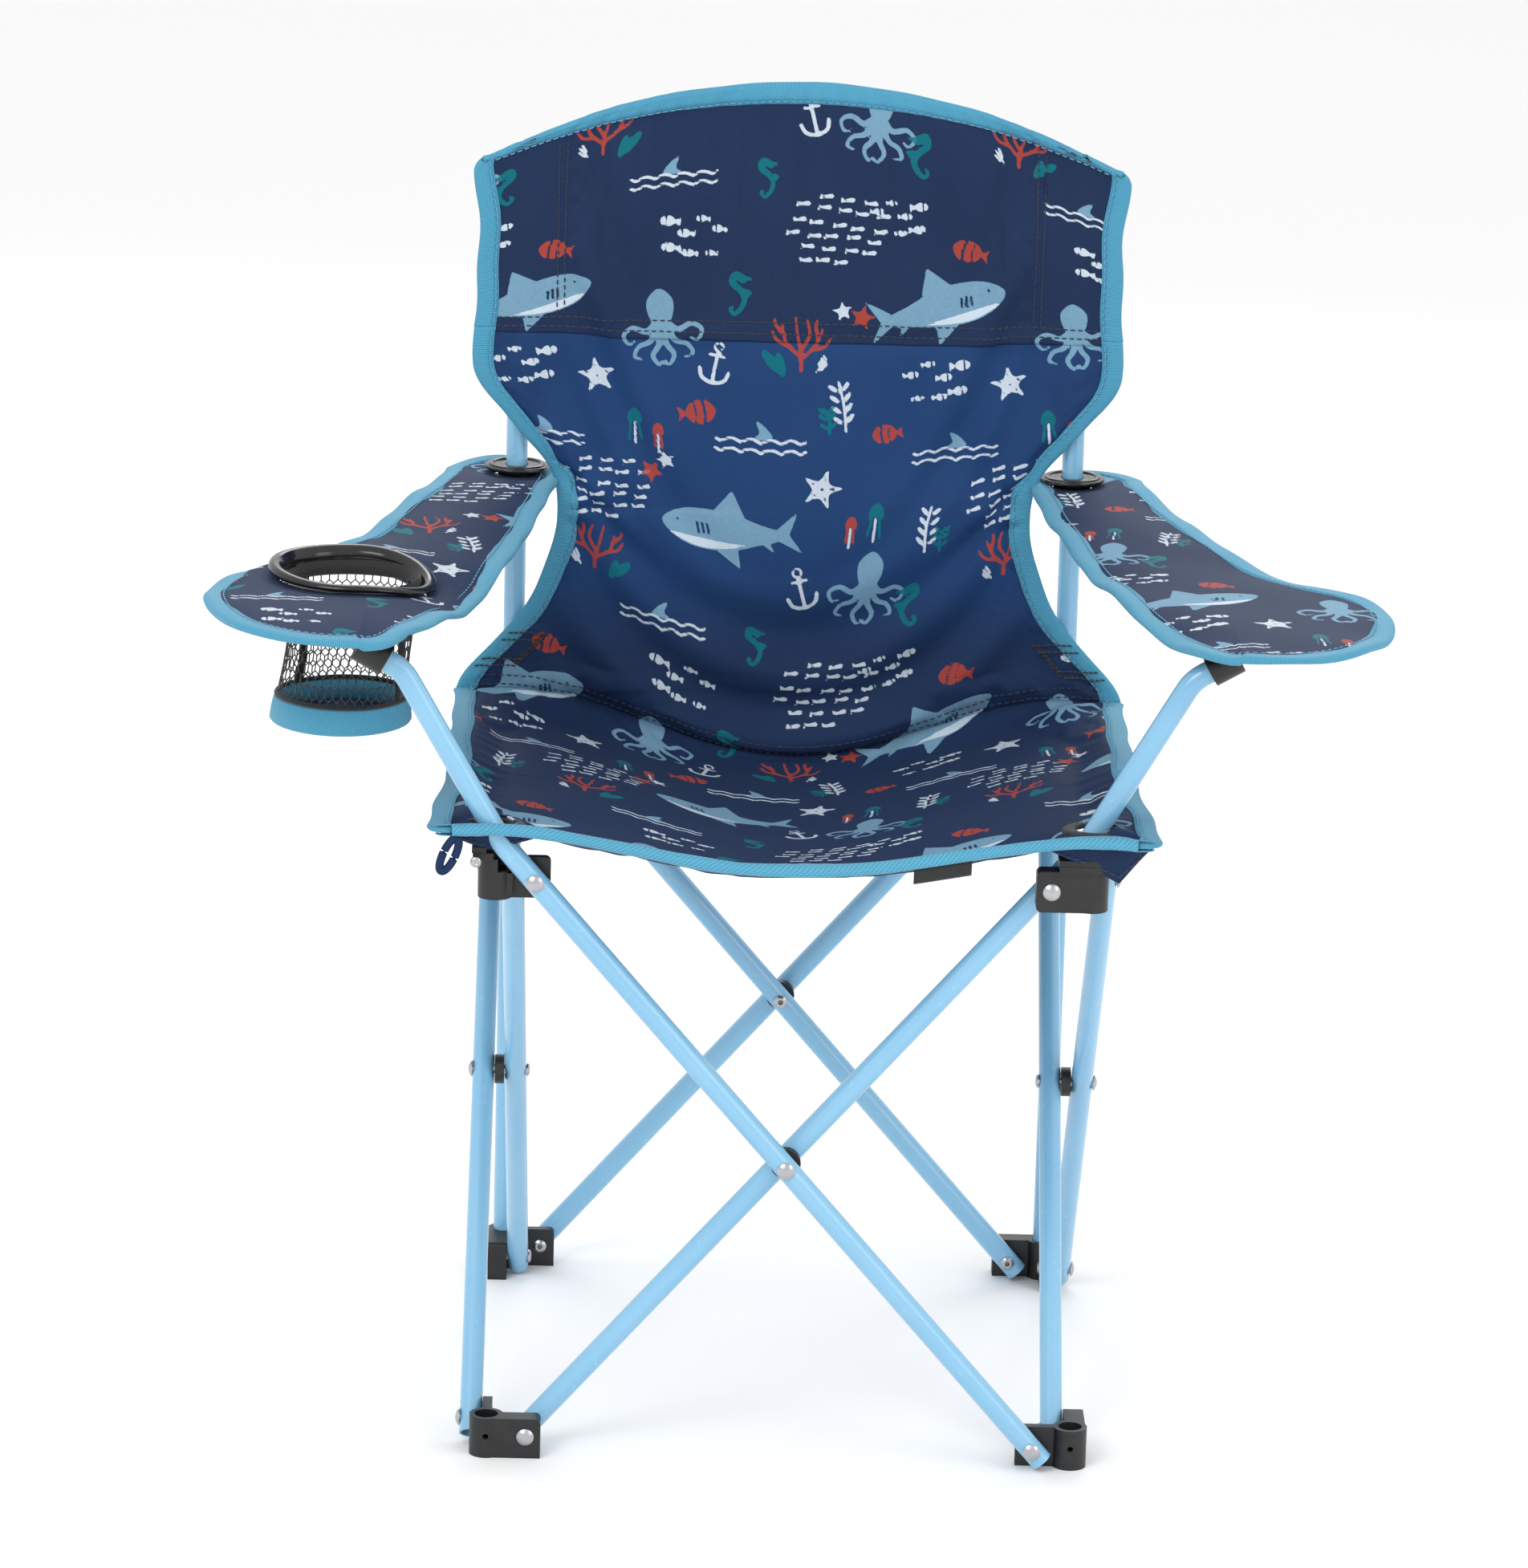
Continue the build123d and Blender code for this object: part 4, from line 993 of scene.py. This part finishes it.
def armDroop(x, along, gap, hand):
    span = np.clip(-along / 0.30, 0, 1)
    droop = -armrest["sag"] * np.sin(pi * span) ** 2
    droop += 0.0012 * np.sin(along / 0.019 + hand * 1.3) * np.exp(-gap / 0.020)
    droop += 0.0007 * np.sin(along / 0.0085 + x / 0.02) * np.exp(-gap / 0.012)
    inner = np.clip((0.03 - gap) / 0.03, 0, 1) * np.exp(-((along + 0.30) / 0.06) ** 2) * (np.abs(x) < 0.225)
    return droop - 0.0035 * inner + (cupDip(x, along) if hand < 0 else 0)


def makeArmrest(name, hand, body, direction, keep):
    outline = rounded([(x / 1000, a / 1000) for x, a in armrest["outline"]], steps=8)
    outline = np.stack([hand * (armrest["postX"] + outline[:, 0]), outline[:, 1]], 1)
    bm = bmesh.new()
    bm.faces.new([bm.verts.new((x, a, 0)) for x, a in outline])
    low, high = outline.min(0), outline.max(0)
    for axis in (0, 1):
        for at in np.arange(low[axis] + 0.0007, high[axis], armrest["cell"]):
            plane = (1, 0, 0) if axis == 0 else (0, 1, 0)
            bmesh.ops.bisect_plane(bm, geom=bm.verts[:] + bm.edges[:] + bm.faces[:], plane_co=(at, at, 0),
                plane_no=plane)
    holes = [(hand * armrest["postX"], 0.0, armrest["postHole"])]
    if name == "left":
        holes.append((hand * (armrest["postX"] + armrest["cupOut"]), -armrest["cupFront"], armrest["cupHole"]))
    gone = [f for f in bm.faces if any(math.hypot(f.calc_center_median().x - x,
        f.calc_center_median().y - a) < r for x, a, r in holes)]
    bmesh.ops.delete(bm, geom=gone, context="FACES")
    bmesh.ops.recalc_face_normals(bm, faces=bm.faces)
    bm.verts.ensure_lookup_table()
    flat = np.array([v.co[:2] for v in bm.verts])
    index = {v: k for k, v in enumerate(bm.verts)}
    faces = [[index[v] for v in f.verts] for f in bm.faces]
    upward = sum(f.normal.z for f in bm.faces) > 0
    bm.free()
    if not upward:
        faces = [f[::-1] for f in faces]
    gap = outlineGap(flat, outline)
    values = drawInks(flat[:, 0] * 1000 + (500 if hand > 0 else 830), flat[:, 1] * -1000 + (40 if hand > 0 else 190))
    # a low painted backlight on the armrest pads
    values["glow"] = np.full(len(flat), 0.10)
    values["plump"] = armrest["crown"] * (1 - np.exp(-gap / armrest["crownReach"])) + 0.0003 * np.sin(flat[:,
        1] / 0.013 + flat[:, 0] / 0.02)
    piece = makeMesh(f"{name}ArmrestPad", np.column_stack([flat, np.zeros(len(flat))]), faces, printedCloth,
                     flat * [1, -1] + [0.9, 0.7], "flatCut", values)
    piece.data.materials.append(plainCloth)
    thicken(piece, armrest["thick"])
    count = len(piece.data.vertices)
    co, plump = np.empty(count * 3), np.empty(count)
    piece.data.vertices.foreach_get("co", co)
    piece.data.attributes["plump"].data.foreach_get("value", plump)
    co = co.reshape(-1, 3)
    gapAll = outlineGap(co[:, :2], outline)
    nearHole = np.min([np.hypot(co[:, 0] - x, co[:, 1] - a) - r for x, a, r in holes], axis=0)
    flatten = np.clip(nearHole / 0.012, 0.25, 1)
    lift = co[:, 2] + np.sign(co[:, 2]) * plump * flatten + armDroop(co[:, 0], co[:, 1], gapAll,
        hand) * np.clip(nearHole / 0.03, 0.0 if hand > 0 else 0.05, 1)
    if name == "left":  # the cloth under the rim follows it down on the inner side
        lift += cupDip(co[:, 0], co[:, 1]) * (1 - np.clip(nearHole / 0.03, 0.05, 1))
    piece.data.vertices.foreach_set("co", armPlace(co[:, 0], co[:, 1], lift).ravel())
    piece.data.update()
    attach(piece, body)
    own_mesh(piece)
    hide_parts(f"armrest_{name}")

    dense = np.vstack([outline, outline[:1]])
    total = runLength(dense)
    at = np.linspace(0, total[-1], 420, endpoint=False)
    ring = np.stack([np.interp(at, total, dense[:, k]) for k in (0, 1)], 1)
    ahead = unit(np.roll(ring, -2, 0) - np.roll(ring, 2, 0))
    inward2 = np.stack([-ahead[:, 1], ahead[:, 0]], 1)
    if (inward2 * (outline.mean(0) - ring)).sum() < 0:
        inward2 = -inward2
    edge = armPlace(ring[:, 0], ring[:, 1], armDroop(ring[:, 0], ring[:, 1], np.zeros(len(ring)), hand))
    inner = ring + inward2 * 0.0105
    innerLift = armDroop(inner[:, 0], inner[:, 1], np.full(len(ring), 0.0105), hand)
    inward = unit(armPlace(inner[:, 0], inner[:, 1], innerLift) - edge)
    normal = unit(armUp[None] - (inward @ armUp)[:, None] * inward)
    tape = makeTapeOver(f"{name}ArmrestTape", edge, inward, normal, armTape, blueTape, closed=True)
    seam = makeStitches(
        f"{name}ArmrestTapeStitches",
        [(edge + inward * 0.0086 + normal * (armTape["half"] + 0.0006), normal)], blueThread, radius=0.00026,
    )
    for extra in (tape, seam):
        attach(extra, body)
        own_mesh(extra)
    return piece


for name, hand in (("left", -1), ("right", 1)):
    makeArmrest(name, hand, *armSwings[name])
print("armrests made")

# ---- grommets where the posts pass through the armrests: a raised lip on each moulding
grommetLip = {"Upper": (0.0145, 0.0016, 0),
    "Inner": (0.0092, 0.0016 * 0.7, 0.0006)}  # radius, thickness, how far down
for name, hand in (("left", -1), ("right", 1)):
    low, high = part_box(f"grommet_{name}")
    for label, (major, minor, down) in grommetLip.items():
        bpy.ops.mesh.primitive_torus_add(
            location=((low.x + high.x) / 2, (low.y + high.y) / 2, high.z - down), major_radius=major,
            minor_radius=minor, major_segments=64, minor_segments=12,
        )
        lip = bpy.context.object
        lip.name = f"{name}GrommetLip{label}"
        bpy.ops.object.mode_set(mode="EDIT")
        bpy.ops.mesh.select_all(action="SELECT")
        bpy.ops.transform.resize(value=(1, 1, 0.62), center_override=lip.location)
        bpy.ops.object.mode_set(mode="OBJECT")
        bpy.ops.object.shade_smooth()
        bpy.ops.object.transform_apply(location=True, rotation=True, scale=True)
        lip.data.materials.append(glossMoulding)
        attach(lip, f"grommet_{name}")
        bpy.ops.object.select_all(action="DESELECT")
print("grommet lips made")

# ---- cup holder: a shaped rim, a hexagonal net and a taped base
cup = {
    "place": (-0.2355, -0.06335), "top": 0.4560, "bottom": 0.3795, "topRadius": 0.0352, "lowRadius": 0.0362,
    "around": 46, "cellHeight": 0.0041, "netThread": 0.00042, "band": 0.0135, "tapeWidth": 0.0058,
}
cupX, cupY = cup["place"]


def netRadius(angle, z):
    f = (cup["top"] - z) / (cup["top"] - cup["bottom"])
    waist = -0.0030 * np.sin(pi * f) + 0.0007 * np.sin(3 * angle + 6 * f)
    return cup["topRadius"] + (cup["lowRadius"] - cup["topRadius"]) * f + waist


def cupLean(z):
    return -0.0055 * np.clip((cup["top"] - z) / 0.074, 0, 1) ** 1.5


def onNet(angle, z, out=0.0):
    r = netRadius(angle, z) + out
    return np.stack([cupX + cupLean(z) + r * np.cos(angle), cupY + r * np.sin(angle), z + 0 * r], -1)


def netThreads():
    threads = []
    turn = 2 * pi / cup["around"]
    pitch = cup["cellHeight"] * 1.5
    rows = int((cup["top"] - cup["bottom"] - cup["band"]) / pitch) + 1
    for row in range(rows):
        z = cup["top"] - 0.002 - row * pitch
        shift = 0.5 * (row % 2)
        for k in range(cup["around"]):
            a = (k + shift) * turn
            left, right = (a, z), (a + turn / 2, z - cup["cellHeight"] * 0.5)
            threads += [(left, right), ((a + turn, z), right), (right, (a + turn / 2, z - pitch))]
    return threads


def prism(points, faces, start, end, radius):
    way = unit(end - start)
    side = unit(np.cross(way, [0.3, 0.2, 0.93]))
    up = np.cross(way, side)
    base = len(points)
    for at in (start, end):
        for a in (0.5, 2.594, 4.689):
            points.append(at + radius * (side * math.cos(a) + up * math.sin(a)))
    faces += [(base, base + 1, base + 4, base + 3), (base + 1, base + 2, base + 5, base + 4),
        (base + 2, base, base + 3, base + 5),
              (base, base + 2, base + 1), (base + 3, base + 4, base + 5)]


points, faces = [], []
floorZ = cup["bottom"] + cup["band"] - 0.001
for (a0, z0), (a1, z1) in netThreads():
    prism(points, faces, onNet(np.float64(a0), max(z0, floorZ)), onNet(np.float64(a1), max(z1, floorZ)),
        cup["netThread"])
net = makeMesh("cupNet", points, faces, netThread)


def revolveBand(name, profile, material, count=96):
    a = np.linspace(0, 2 * pi, count, endpoint=False)
    profile = np.asarray(profile, float)
    shape = np.stack([onNet(a, z + 0 * a, out) for out, z in profile])
    corners = spreadOver(a[None] * 0.036, runLength(profile)[:, None])
    faces = gridFaces(len(profile), count, True)
    piece = makeMesh(name, shape.reshape(-1, 3), faces, material, corners, "tapeRun")
    pointOutwards(piece)
    return piece


low = cup["bottom"]
blueBand = revolveBand("cupBlueBand", [(0.0000, low + 0.0135), (0.0012, low + 0.0138), (0.0017, low + 0.0125),
    (0.0019, low + 0.0065), (0.0017, low + 0.0012),
                                       (0.0008, low + 0.0001), (-0.0012, low + 0.0008), (-0.0014, low + 0.0125),
                                       (0.0000, low + 0.0135)], blueTape)
seamBand = revolveBand("cupSeamCord", [(0.0006 + 0.0013 * math.cos(a),
    low + 0.0148 + 0.0013 * math.sin(a)) for a in np.linspace(0, 2 * pi, 9)], blackTape)
topBand = revolveBand("cupTopTape", [(0.0005, 0.4585), (0.0011, 0.4560), (0.0011, 0.4520), (0.0004, 0.4505),
    (-0.0004, 0.4520), (-0.0004, 0.4560), (0.0005, 0.4585)], blackTape)
baseRings = [(r, low + 0.0022 + 0.0015 * (1 - (r / 0.0365) ** 2)) for r in (0.0365, 0.030, 0.022, 0.014, 0.006,
    0.0005)]
a = np.linspace(0, 2 * pi, 72, endpoint=False)
basePoints = np.concatenate([np.stack([cupX + cupLean(z) + r * np.cos(a), cupY + r * np.sin(a),
    z + 0.0004 * np.sin(5 * a) * (r > 0.003)], 1) for r, z in baseRings])
# the cup's base cloth gets a low painted backlight
cupBase = makeMesh("cupBaseCloth", basePoints, gridFaces(len(baseRings), 72, True), plainCloth, basePoints[:, :2],
    "flatCut", {"glow": np.full(len(basePoints), 0.1)})
if cupBase.data.polygons[0].normal.z < 0:
    cupBase.data.flip_normals()
thicken(cupBase, 0.0009)
stripZ = np.linspace(cup["top"], low + 0.014, 40)
strips = []
for stripName, angle in (("Right", -0.55), ("Back", 2.4)):
    edge = onNet(np.full(40, angle - cup["tapeWidth"] / 0.075), stripZ, 0.0006)
    other = onNet(np.full(40, angle + cup["tapeWidth"] / 0.075), stripZ, 0.0006)
    middleLine = onNet(np.full(40, angle) + 0.02 * np.sin(stripZ / 0.008), stripZ, 0.0012)
    strip = makeMesh(f"cupStrip{stripName}", np.stack([edge, middleLine, other], 1).reshape(-1, 3), gridFaces(40, 3),
        blackTape,
                     spreadOver((cup["top"] - stripZ)[:, None], np.array([0, 0.0029, 0.0058])[None]), "tapeRun")
    strips.append(thicken(strip, 0.0008))
for piece in [net, blueBand, seamBand, topBand, cupBase] + strips:
    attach(piece, "cup_holder")
    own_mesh(piece)
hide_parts("cup_basket")
print("cup basket made")

# the rim: a wide ring with a rolled outer lip, lifted at the outer side and dipping at the inner one
rimShape = {"outer": 0.0440, "throat": 0.0362, "base": 0.0028, "saddle": 0.0022, "count": 144}
a = np.linspace(0, 2 * pi, rimShape["count"], endpoint=False)
outer, throat = rimShape["outer"], rimShape["throat"]
section = [(outer, 0.0002), (outer + 0.0007, 0.0012), (outer + 0.0003, 0.0026), (outer - 0.0016, 0.0036),
    (outer - 0.0045, 0.0034),
           (throat + 0.0022, 0.0022), (throat + 0.0004, 0.0008), (throat, -0.0012), (throat, -0.0098),
           (throat + 0.0006, -0.0106),
           (throat + 0.0016, -0.0100), (throat + 0.0018, -0.0008), (outer - 0.0030, -0.0002)]
saddle = rimShape["saddle"] * np.clip(-np.cos(a), 0, 1) ** 2
rows = []
for r, h in section:
    swell = np.clip(h / 0.003, 0, 1)
    x, along = cupX + r * np.cos(a), -armrest["cupFront"] + r * np.sin(a)
    rows.append(armPlace(x, along, rimShape["base"] + h + saddle * swell + cupDip(x, along)))
rim = makeMesh("cupRimShaped", np.stack(rows).reshape(-1, 3), gridFaces(len(section), len(a), True), glossMoulding)
last = (len(section) - 1) * len(a)
bm = bmesh.new()
bm.from_mesh(rim.data)
bm.verts.ensure_lookup_table()
for k in range(len(a)):
    bm.faces.new([bm.verts[i] for i in (last + k, last + (k + 1) % len(a), (k + 1) % len(a), k)])
bmesh.ops.recalc_face_normals(bm, faces=bm.faces)
for f in bm.faces:
    f.smooth = True
bm.to_mesh(rim.data)
bm.free()
smooth = rim.modifiers.new("round", "SUBSURF")
smooth.levels = smooth.render_levels = 1
applyAll(rim)
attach(rim, "cup_holder")
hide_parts("cup_rim")
print("cup rim made")

# ---- seat corners: tape rings round the arm tubes, flaps, a loop, a tab and box stitches
corner = {"ringInner": 0.0088, "ringOuter": 0.0150, "flapDrop": 0.021, "flapLong": 0.062}
for name, hand, holeY in (("Left", -1, armHoles["leftY"]), ("Right", 1, armHoles["rightY"])):
    a = np.linspace(0, 2 * pi, 48, endpoint=False)
    section = [(corner["ringInner"], 0.0004), (corner["ringInner"] + 0.0003, 0.0011),
        (corner["ringInner"] + 0.0022, 0.0014),
               (corner["ringOuter"] - 0.0008, 0.0012), (corner["ringOuter"], 0.0007), (corner["ringOuter"], -0.0007),
               (corner["ringOuter"] - 0.0008, -0.0012), (corner["ringInner"] + 0.0022, -0.0014),
               (corner["ringInner"] + 0.0003, -0.0011), (corner["ringInner"], -0.0004)]
    rows = []
    for r, h in section:
        x, y = hand * armHoles["x"] + r * np.cos(a) * 1.12, holeY + r * np.sin(a)
        y = np.maximum(y, sling["front"] + 0.0012)
        rows.append(np.stack([x, y, seatHeight(x, y) + h], 1))
    shape = np.stack(rows)
    faces = closeRing(gridFaces(len(section), 48, True), len(section), 48)
    corners = spreadOver((a * 0.012)[None], np.linspace(0, 0.02, len(section))[:, None])
    ring = makeMesh(f"armHoleRing{name}", shape.reshape(-1, 3), faces, blackTape, corners, "tapeRun")
    pointOutwards(ring)
    join(ring, "frontSeat")

    rowsF, columnsF = 12, 26
    f, g = np.meshgrid(np.linspace(0, 1, rowsF), np.linspace(0, 1, columnsF), indexing="ij")
    reach = corner["flapLong"] * (1 - g)
    x = hand * (0.186 - reach * 0.98)
    peak = 0.72 if hand > 0 else 0.55
    drop = corner["flapDrop"] * (1.0 if hand > 0 else 0.55) * f * np.clip(np.minimum(g / peak, (1 - g) / (1 - peak)),
        0.06, 1)
    y = sling["front"] + 0.0055 + 0.0035 * f + 0.0012 * np.sin(5 * g * pi) * f
    points = np.stack([x, y, seatHeight(x, y) - 0.0016 - drop], -1).reshape(-1, 3)
    cornersFlap = np.stack([points[:, 0] + 0.6, points[:, 2] + 0.2], 1)
    # the hanging flaps get the lowest painted backlight, so they read darker
    values = {"glow": np.full(len(points), 0.08)}
    flap = makeMesh(f"cornerFlap{name}", points, gridFaces(rowsF, columnsF), plainCloth, cornersFlap, "flatCut",
        values)
    if sum(p.normal.y for p in flap.data.polygons) > 0:
        flap.data.flip_normals()
    thicken(flap, 0.0010)
    join(flap, "frontSeat")
    hemLine = points.reshape(rowsF, columnsF, 3)[-3, 1:-1] + [0, -0.0008, 0]
    join(makeStitches(f"cornerFlapStitches{name}", [(hemLine, np.tile([[0, -1.0, 0]], (len(hemLine), 1)))],
        navyThread), "frontSeat")

    boxLines = []
    for row, reach in ((foldRow - 24, 0.024), (foldRow - 21, 0.024), (foldRow - 13, 0.026), (foldRow - 10, 0.026)):
        width = max(np.linalg.norm(grid[row, 1] - grid[row, 0]), 1e-5)
        columns = np.linspace(0.0005, reach, 14) / width
        boxLines.append(clothLine(row + 0 * columns, columns if hand < 0 else columnTotal - 1 - columns, 0.0023))
    for inset in (0.0235, 0.0255):
        rows = np.linspace(foldRow - 24, foldRow - 10, 12)
        columns = np.full(12, inset / 0.00138)
        boxLines.append(clothLine(rows, columns if hand < 0 else columnTotal - 1 - columns, 0.0009))
    join(makeStitches(f"lowerBackBoxStitches{name}", boxLines, blackThread, 0.0026, 0.0004, 0.0004), "lowerBack")

loopPath = [(-0.1755 - 0.0034 * math.sin(t) - 0.0035 * (1 - math.cos(t)), -0.1665 - 0.002 * math.sin(t / 2),
    0.3440 - 0.0088 * (1 - math.cos(t)))
            for t in np.linspace(0, 2 * pi, 48, endpoint=False)]
cordLoop = tubeAlong("cornerLoop", loopPath, 0.0022, plainCloth, 12, True)
count = len(cordLoop.data.vertices)
loopUv = np.array([(math.atan2(v.co.x + 0.1845, v.co.z - 0.327) * 0.01, v.co.y) for v in cordLoop.data.vertices])
index = np.empty(len(cordLoop.data.loops), np.int32)
cordLoop.data.loops.foreach_get("vertex_index", index)
cordLoop.data.uv_layers.new(name="flatCut").data.foreach_set("uv", loopUv[index].ravel())
# the cord loop gets a raised painted backlight, close to the seat's, so it reads lighter
cordLoop.data.attributes.new("glow", "FLOAT", "POINT").data.foreach_set("value", np.full(count, 0.2))
join(cordLoop, "frontSeat")

tabX, tabW, tabH = 0.062, 0.030, 0.0085
f, g = np.meshgrid(np.linspace(0, 1, 6), np.linspace(0, 1, 18), indexing="ij")
x = tabX + tabW * g
y = np.full_like(x, sling["front"] + 0.0005) + 0.0035 * f
tabPoints = np.stack([x, y, seatHeight(x, y) - 0.0030 - tabH * f], -1).reshape(-1, 3)
tab = makeMesh("seatFrontTab", tabPoints, gridFaces(6, 18), blackTape, tabPoints[:, [0, 2]], "tapeRun")
thicken(tab, 0.0008)
join(tab, "frontSeat")

# a short screw at the left front hub, with its shank
screwPlace = (-0.1652, -0.1665, 0.3312)
bpy.ops.mesh.primitive_uv_sphere_add(segments=32, ring_count=12, radius=0.0030, location=screwPlace)
screw = bpy.context.object
screw.name = "cornerScrewLeft"
bpy.ops.object.mode_set(mode="EDIT")
bpy.ops.mesh.select_all(action="SELECT")
bpy.ops.transform.rotate(value=pi / 2, orient_axis="X", center_override=screw.location)
bpy.ops.transform.resize(value=(1, 0.45, 1), center_override=screw.location)
bpy.ops.mesh.select_all(action="DESELECT")
bpy.ops.object.mode_set(mode="OBJECT")
for face in screw.data.polygons:
    face.select = face.center.y < -0.0008 and math.hypot(face.center.x, face.center.z) < 0.0016
bpy.ops.object.mode_set(mode="EDIT")
bpy.ops.mesh.inset(thickness=0.0003)
bpy.ops.transform.translate(value=(0, 0.0007, 0))
bpy.ops.object.mode_set(mode="OBJECT")
bpy.ops.object.shade_smooth()
bpy.ops.object.transform_apply(location=True, rotation=True, scale=True)
shank = bmesh.new()
shank.from_mesh(screw.data)
reach = bmesh.ops.create_cone(shank, cap_ends=True, segments=24, radius1=0.0019, radius2=0.0019, depth=0.0068)
bmesh.ops.rotate(shank, verts=reach["verts"], cent=(0, 0, 0), matrix=Matrix.Rotation(pi / 2, 3, "X"))
bmesh.ops.translate(shank, verts=reach["verts"], vec=(screwPlace[0], -0.1630, screwPlace[2]))
shank.to_mesh(screw.data)
shank.free()
screw.data.materials.append(chrome)
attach(screw, "hub_front_left")
bpy.ops.object.select_all(action="DESELECT")
print("corners made")

# ---- sleeves of the upper back round the posts
sleeve = {"radius": 0.0085, "wall": 0.0009, "low": 0.5515, "high": 0.6445, "innerX": 0.1335, "outerX": 0.1770}
for name, hand in (("Left", -1), ("Right", 1)):
    centerY = armrest["rear"][0]
    turn = np.linspace(-0.55, pi + 0.55, 27)
    cross = [(-(sling["postX"] - sleeve["innerX"]), sling["backFace"] + 0.0022 - centerY)]
    cross += [(-sleeve["radius"] * math.cos(t), sleeve["radius"] * math.sin(t)) for t in turn]
    cross += [(sleeve["outerX"] - sling["postX"], sling["backFace"] + 0.0018 - centerY)]
    cross = rounded(cross, False, 3)
    heights = np.linspace(sleeve["low"], sleeve["high"], 40)
    points = []
    for z in heights:
        pucker = 1 + 0.05 * math.sin(z / 0.0083) + 0.03 * math.sin(z / 0.0041 + 1)
        for cx, cy in cross:
            swell = pucker if cy > 0 else 1
            points.append((hand * (sling["postX"] + cx * (0.5 + 0.5 * swell)), centerY + cy * swell, z))
    points = np.array(points)
    around = runLength(np.column_stack([cross, np.zeros(len(cross))]))
    corners = spreadOver(around[None], heights[:, None])
    # the post sleeves get a low painted backlight
    cover = makeMesh(f"postSleeve{name}", points, gridFaces(40, len(cross)), plainCloth, corners, "flatCut",
        {"glow": np.full(len(points), 0.1)})
    lead = max(cover.data.polygons, key=lambda p: p.center.y)
    if lead.normal.y < 0:
        cover.data.flip_normals()
    thicken(cover, sleeve["wall"])
    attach(cover, "foot_rear_right" if hand > 0 else "frame_rear_left")
print("sleeves made")
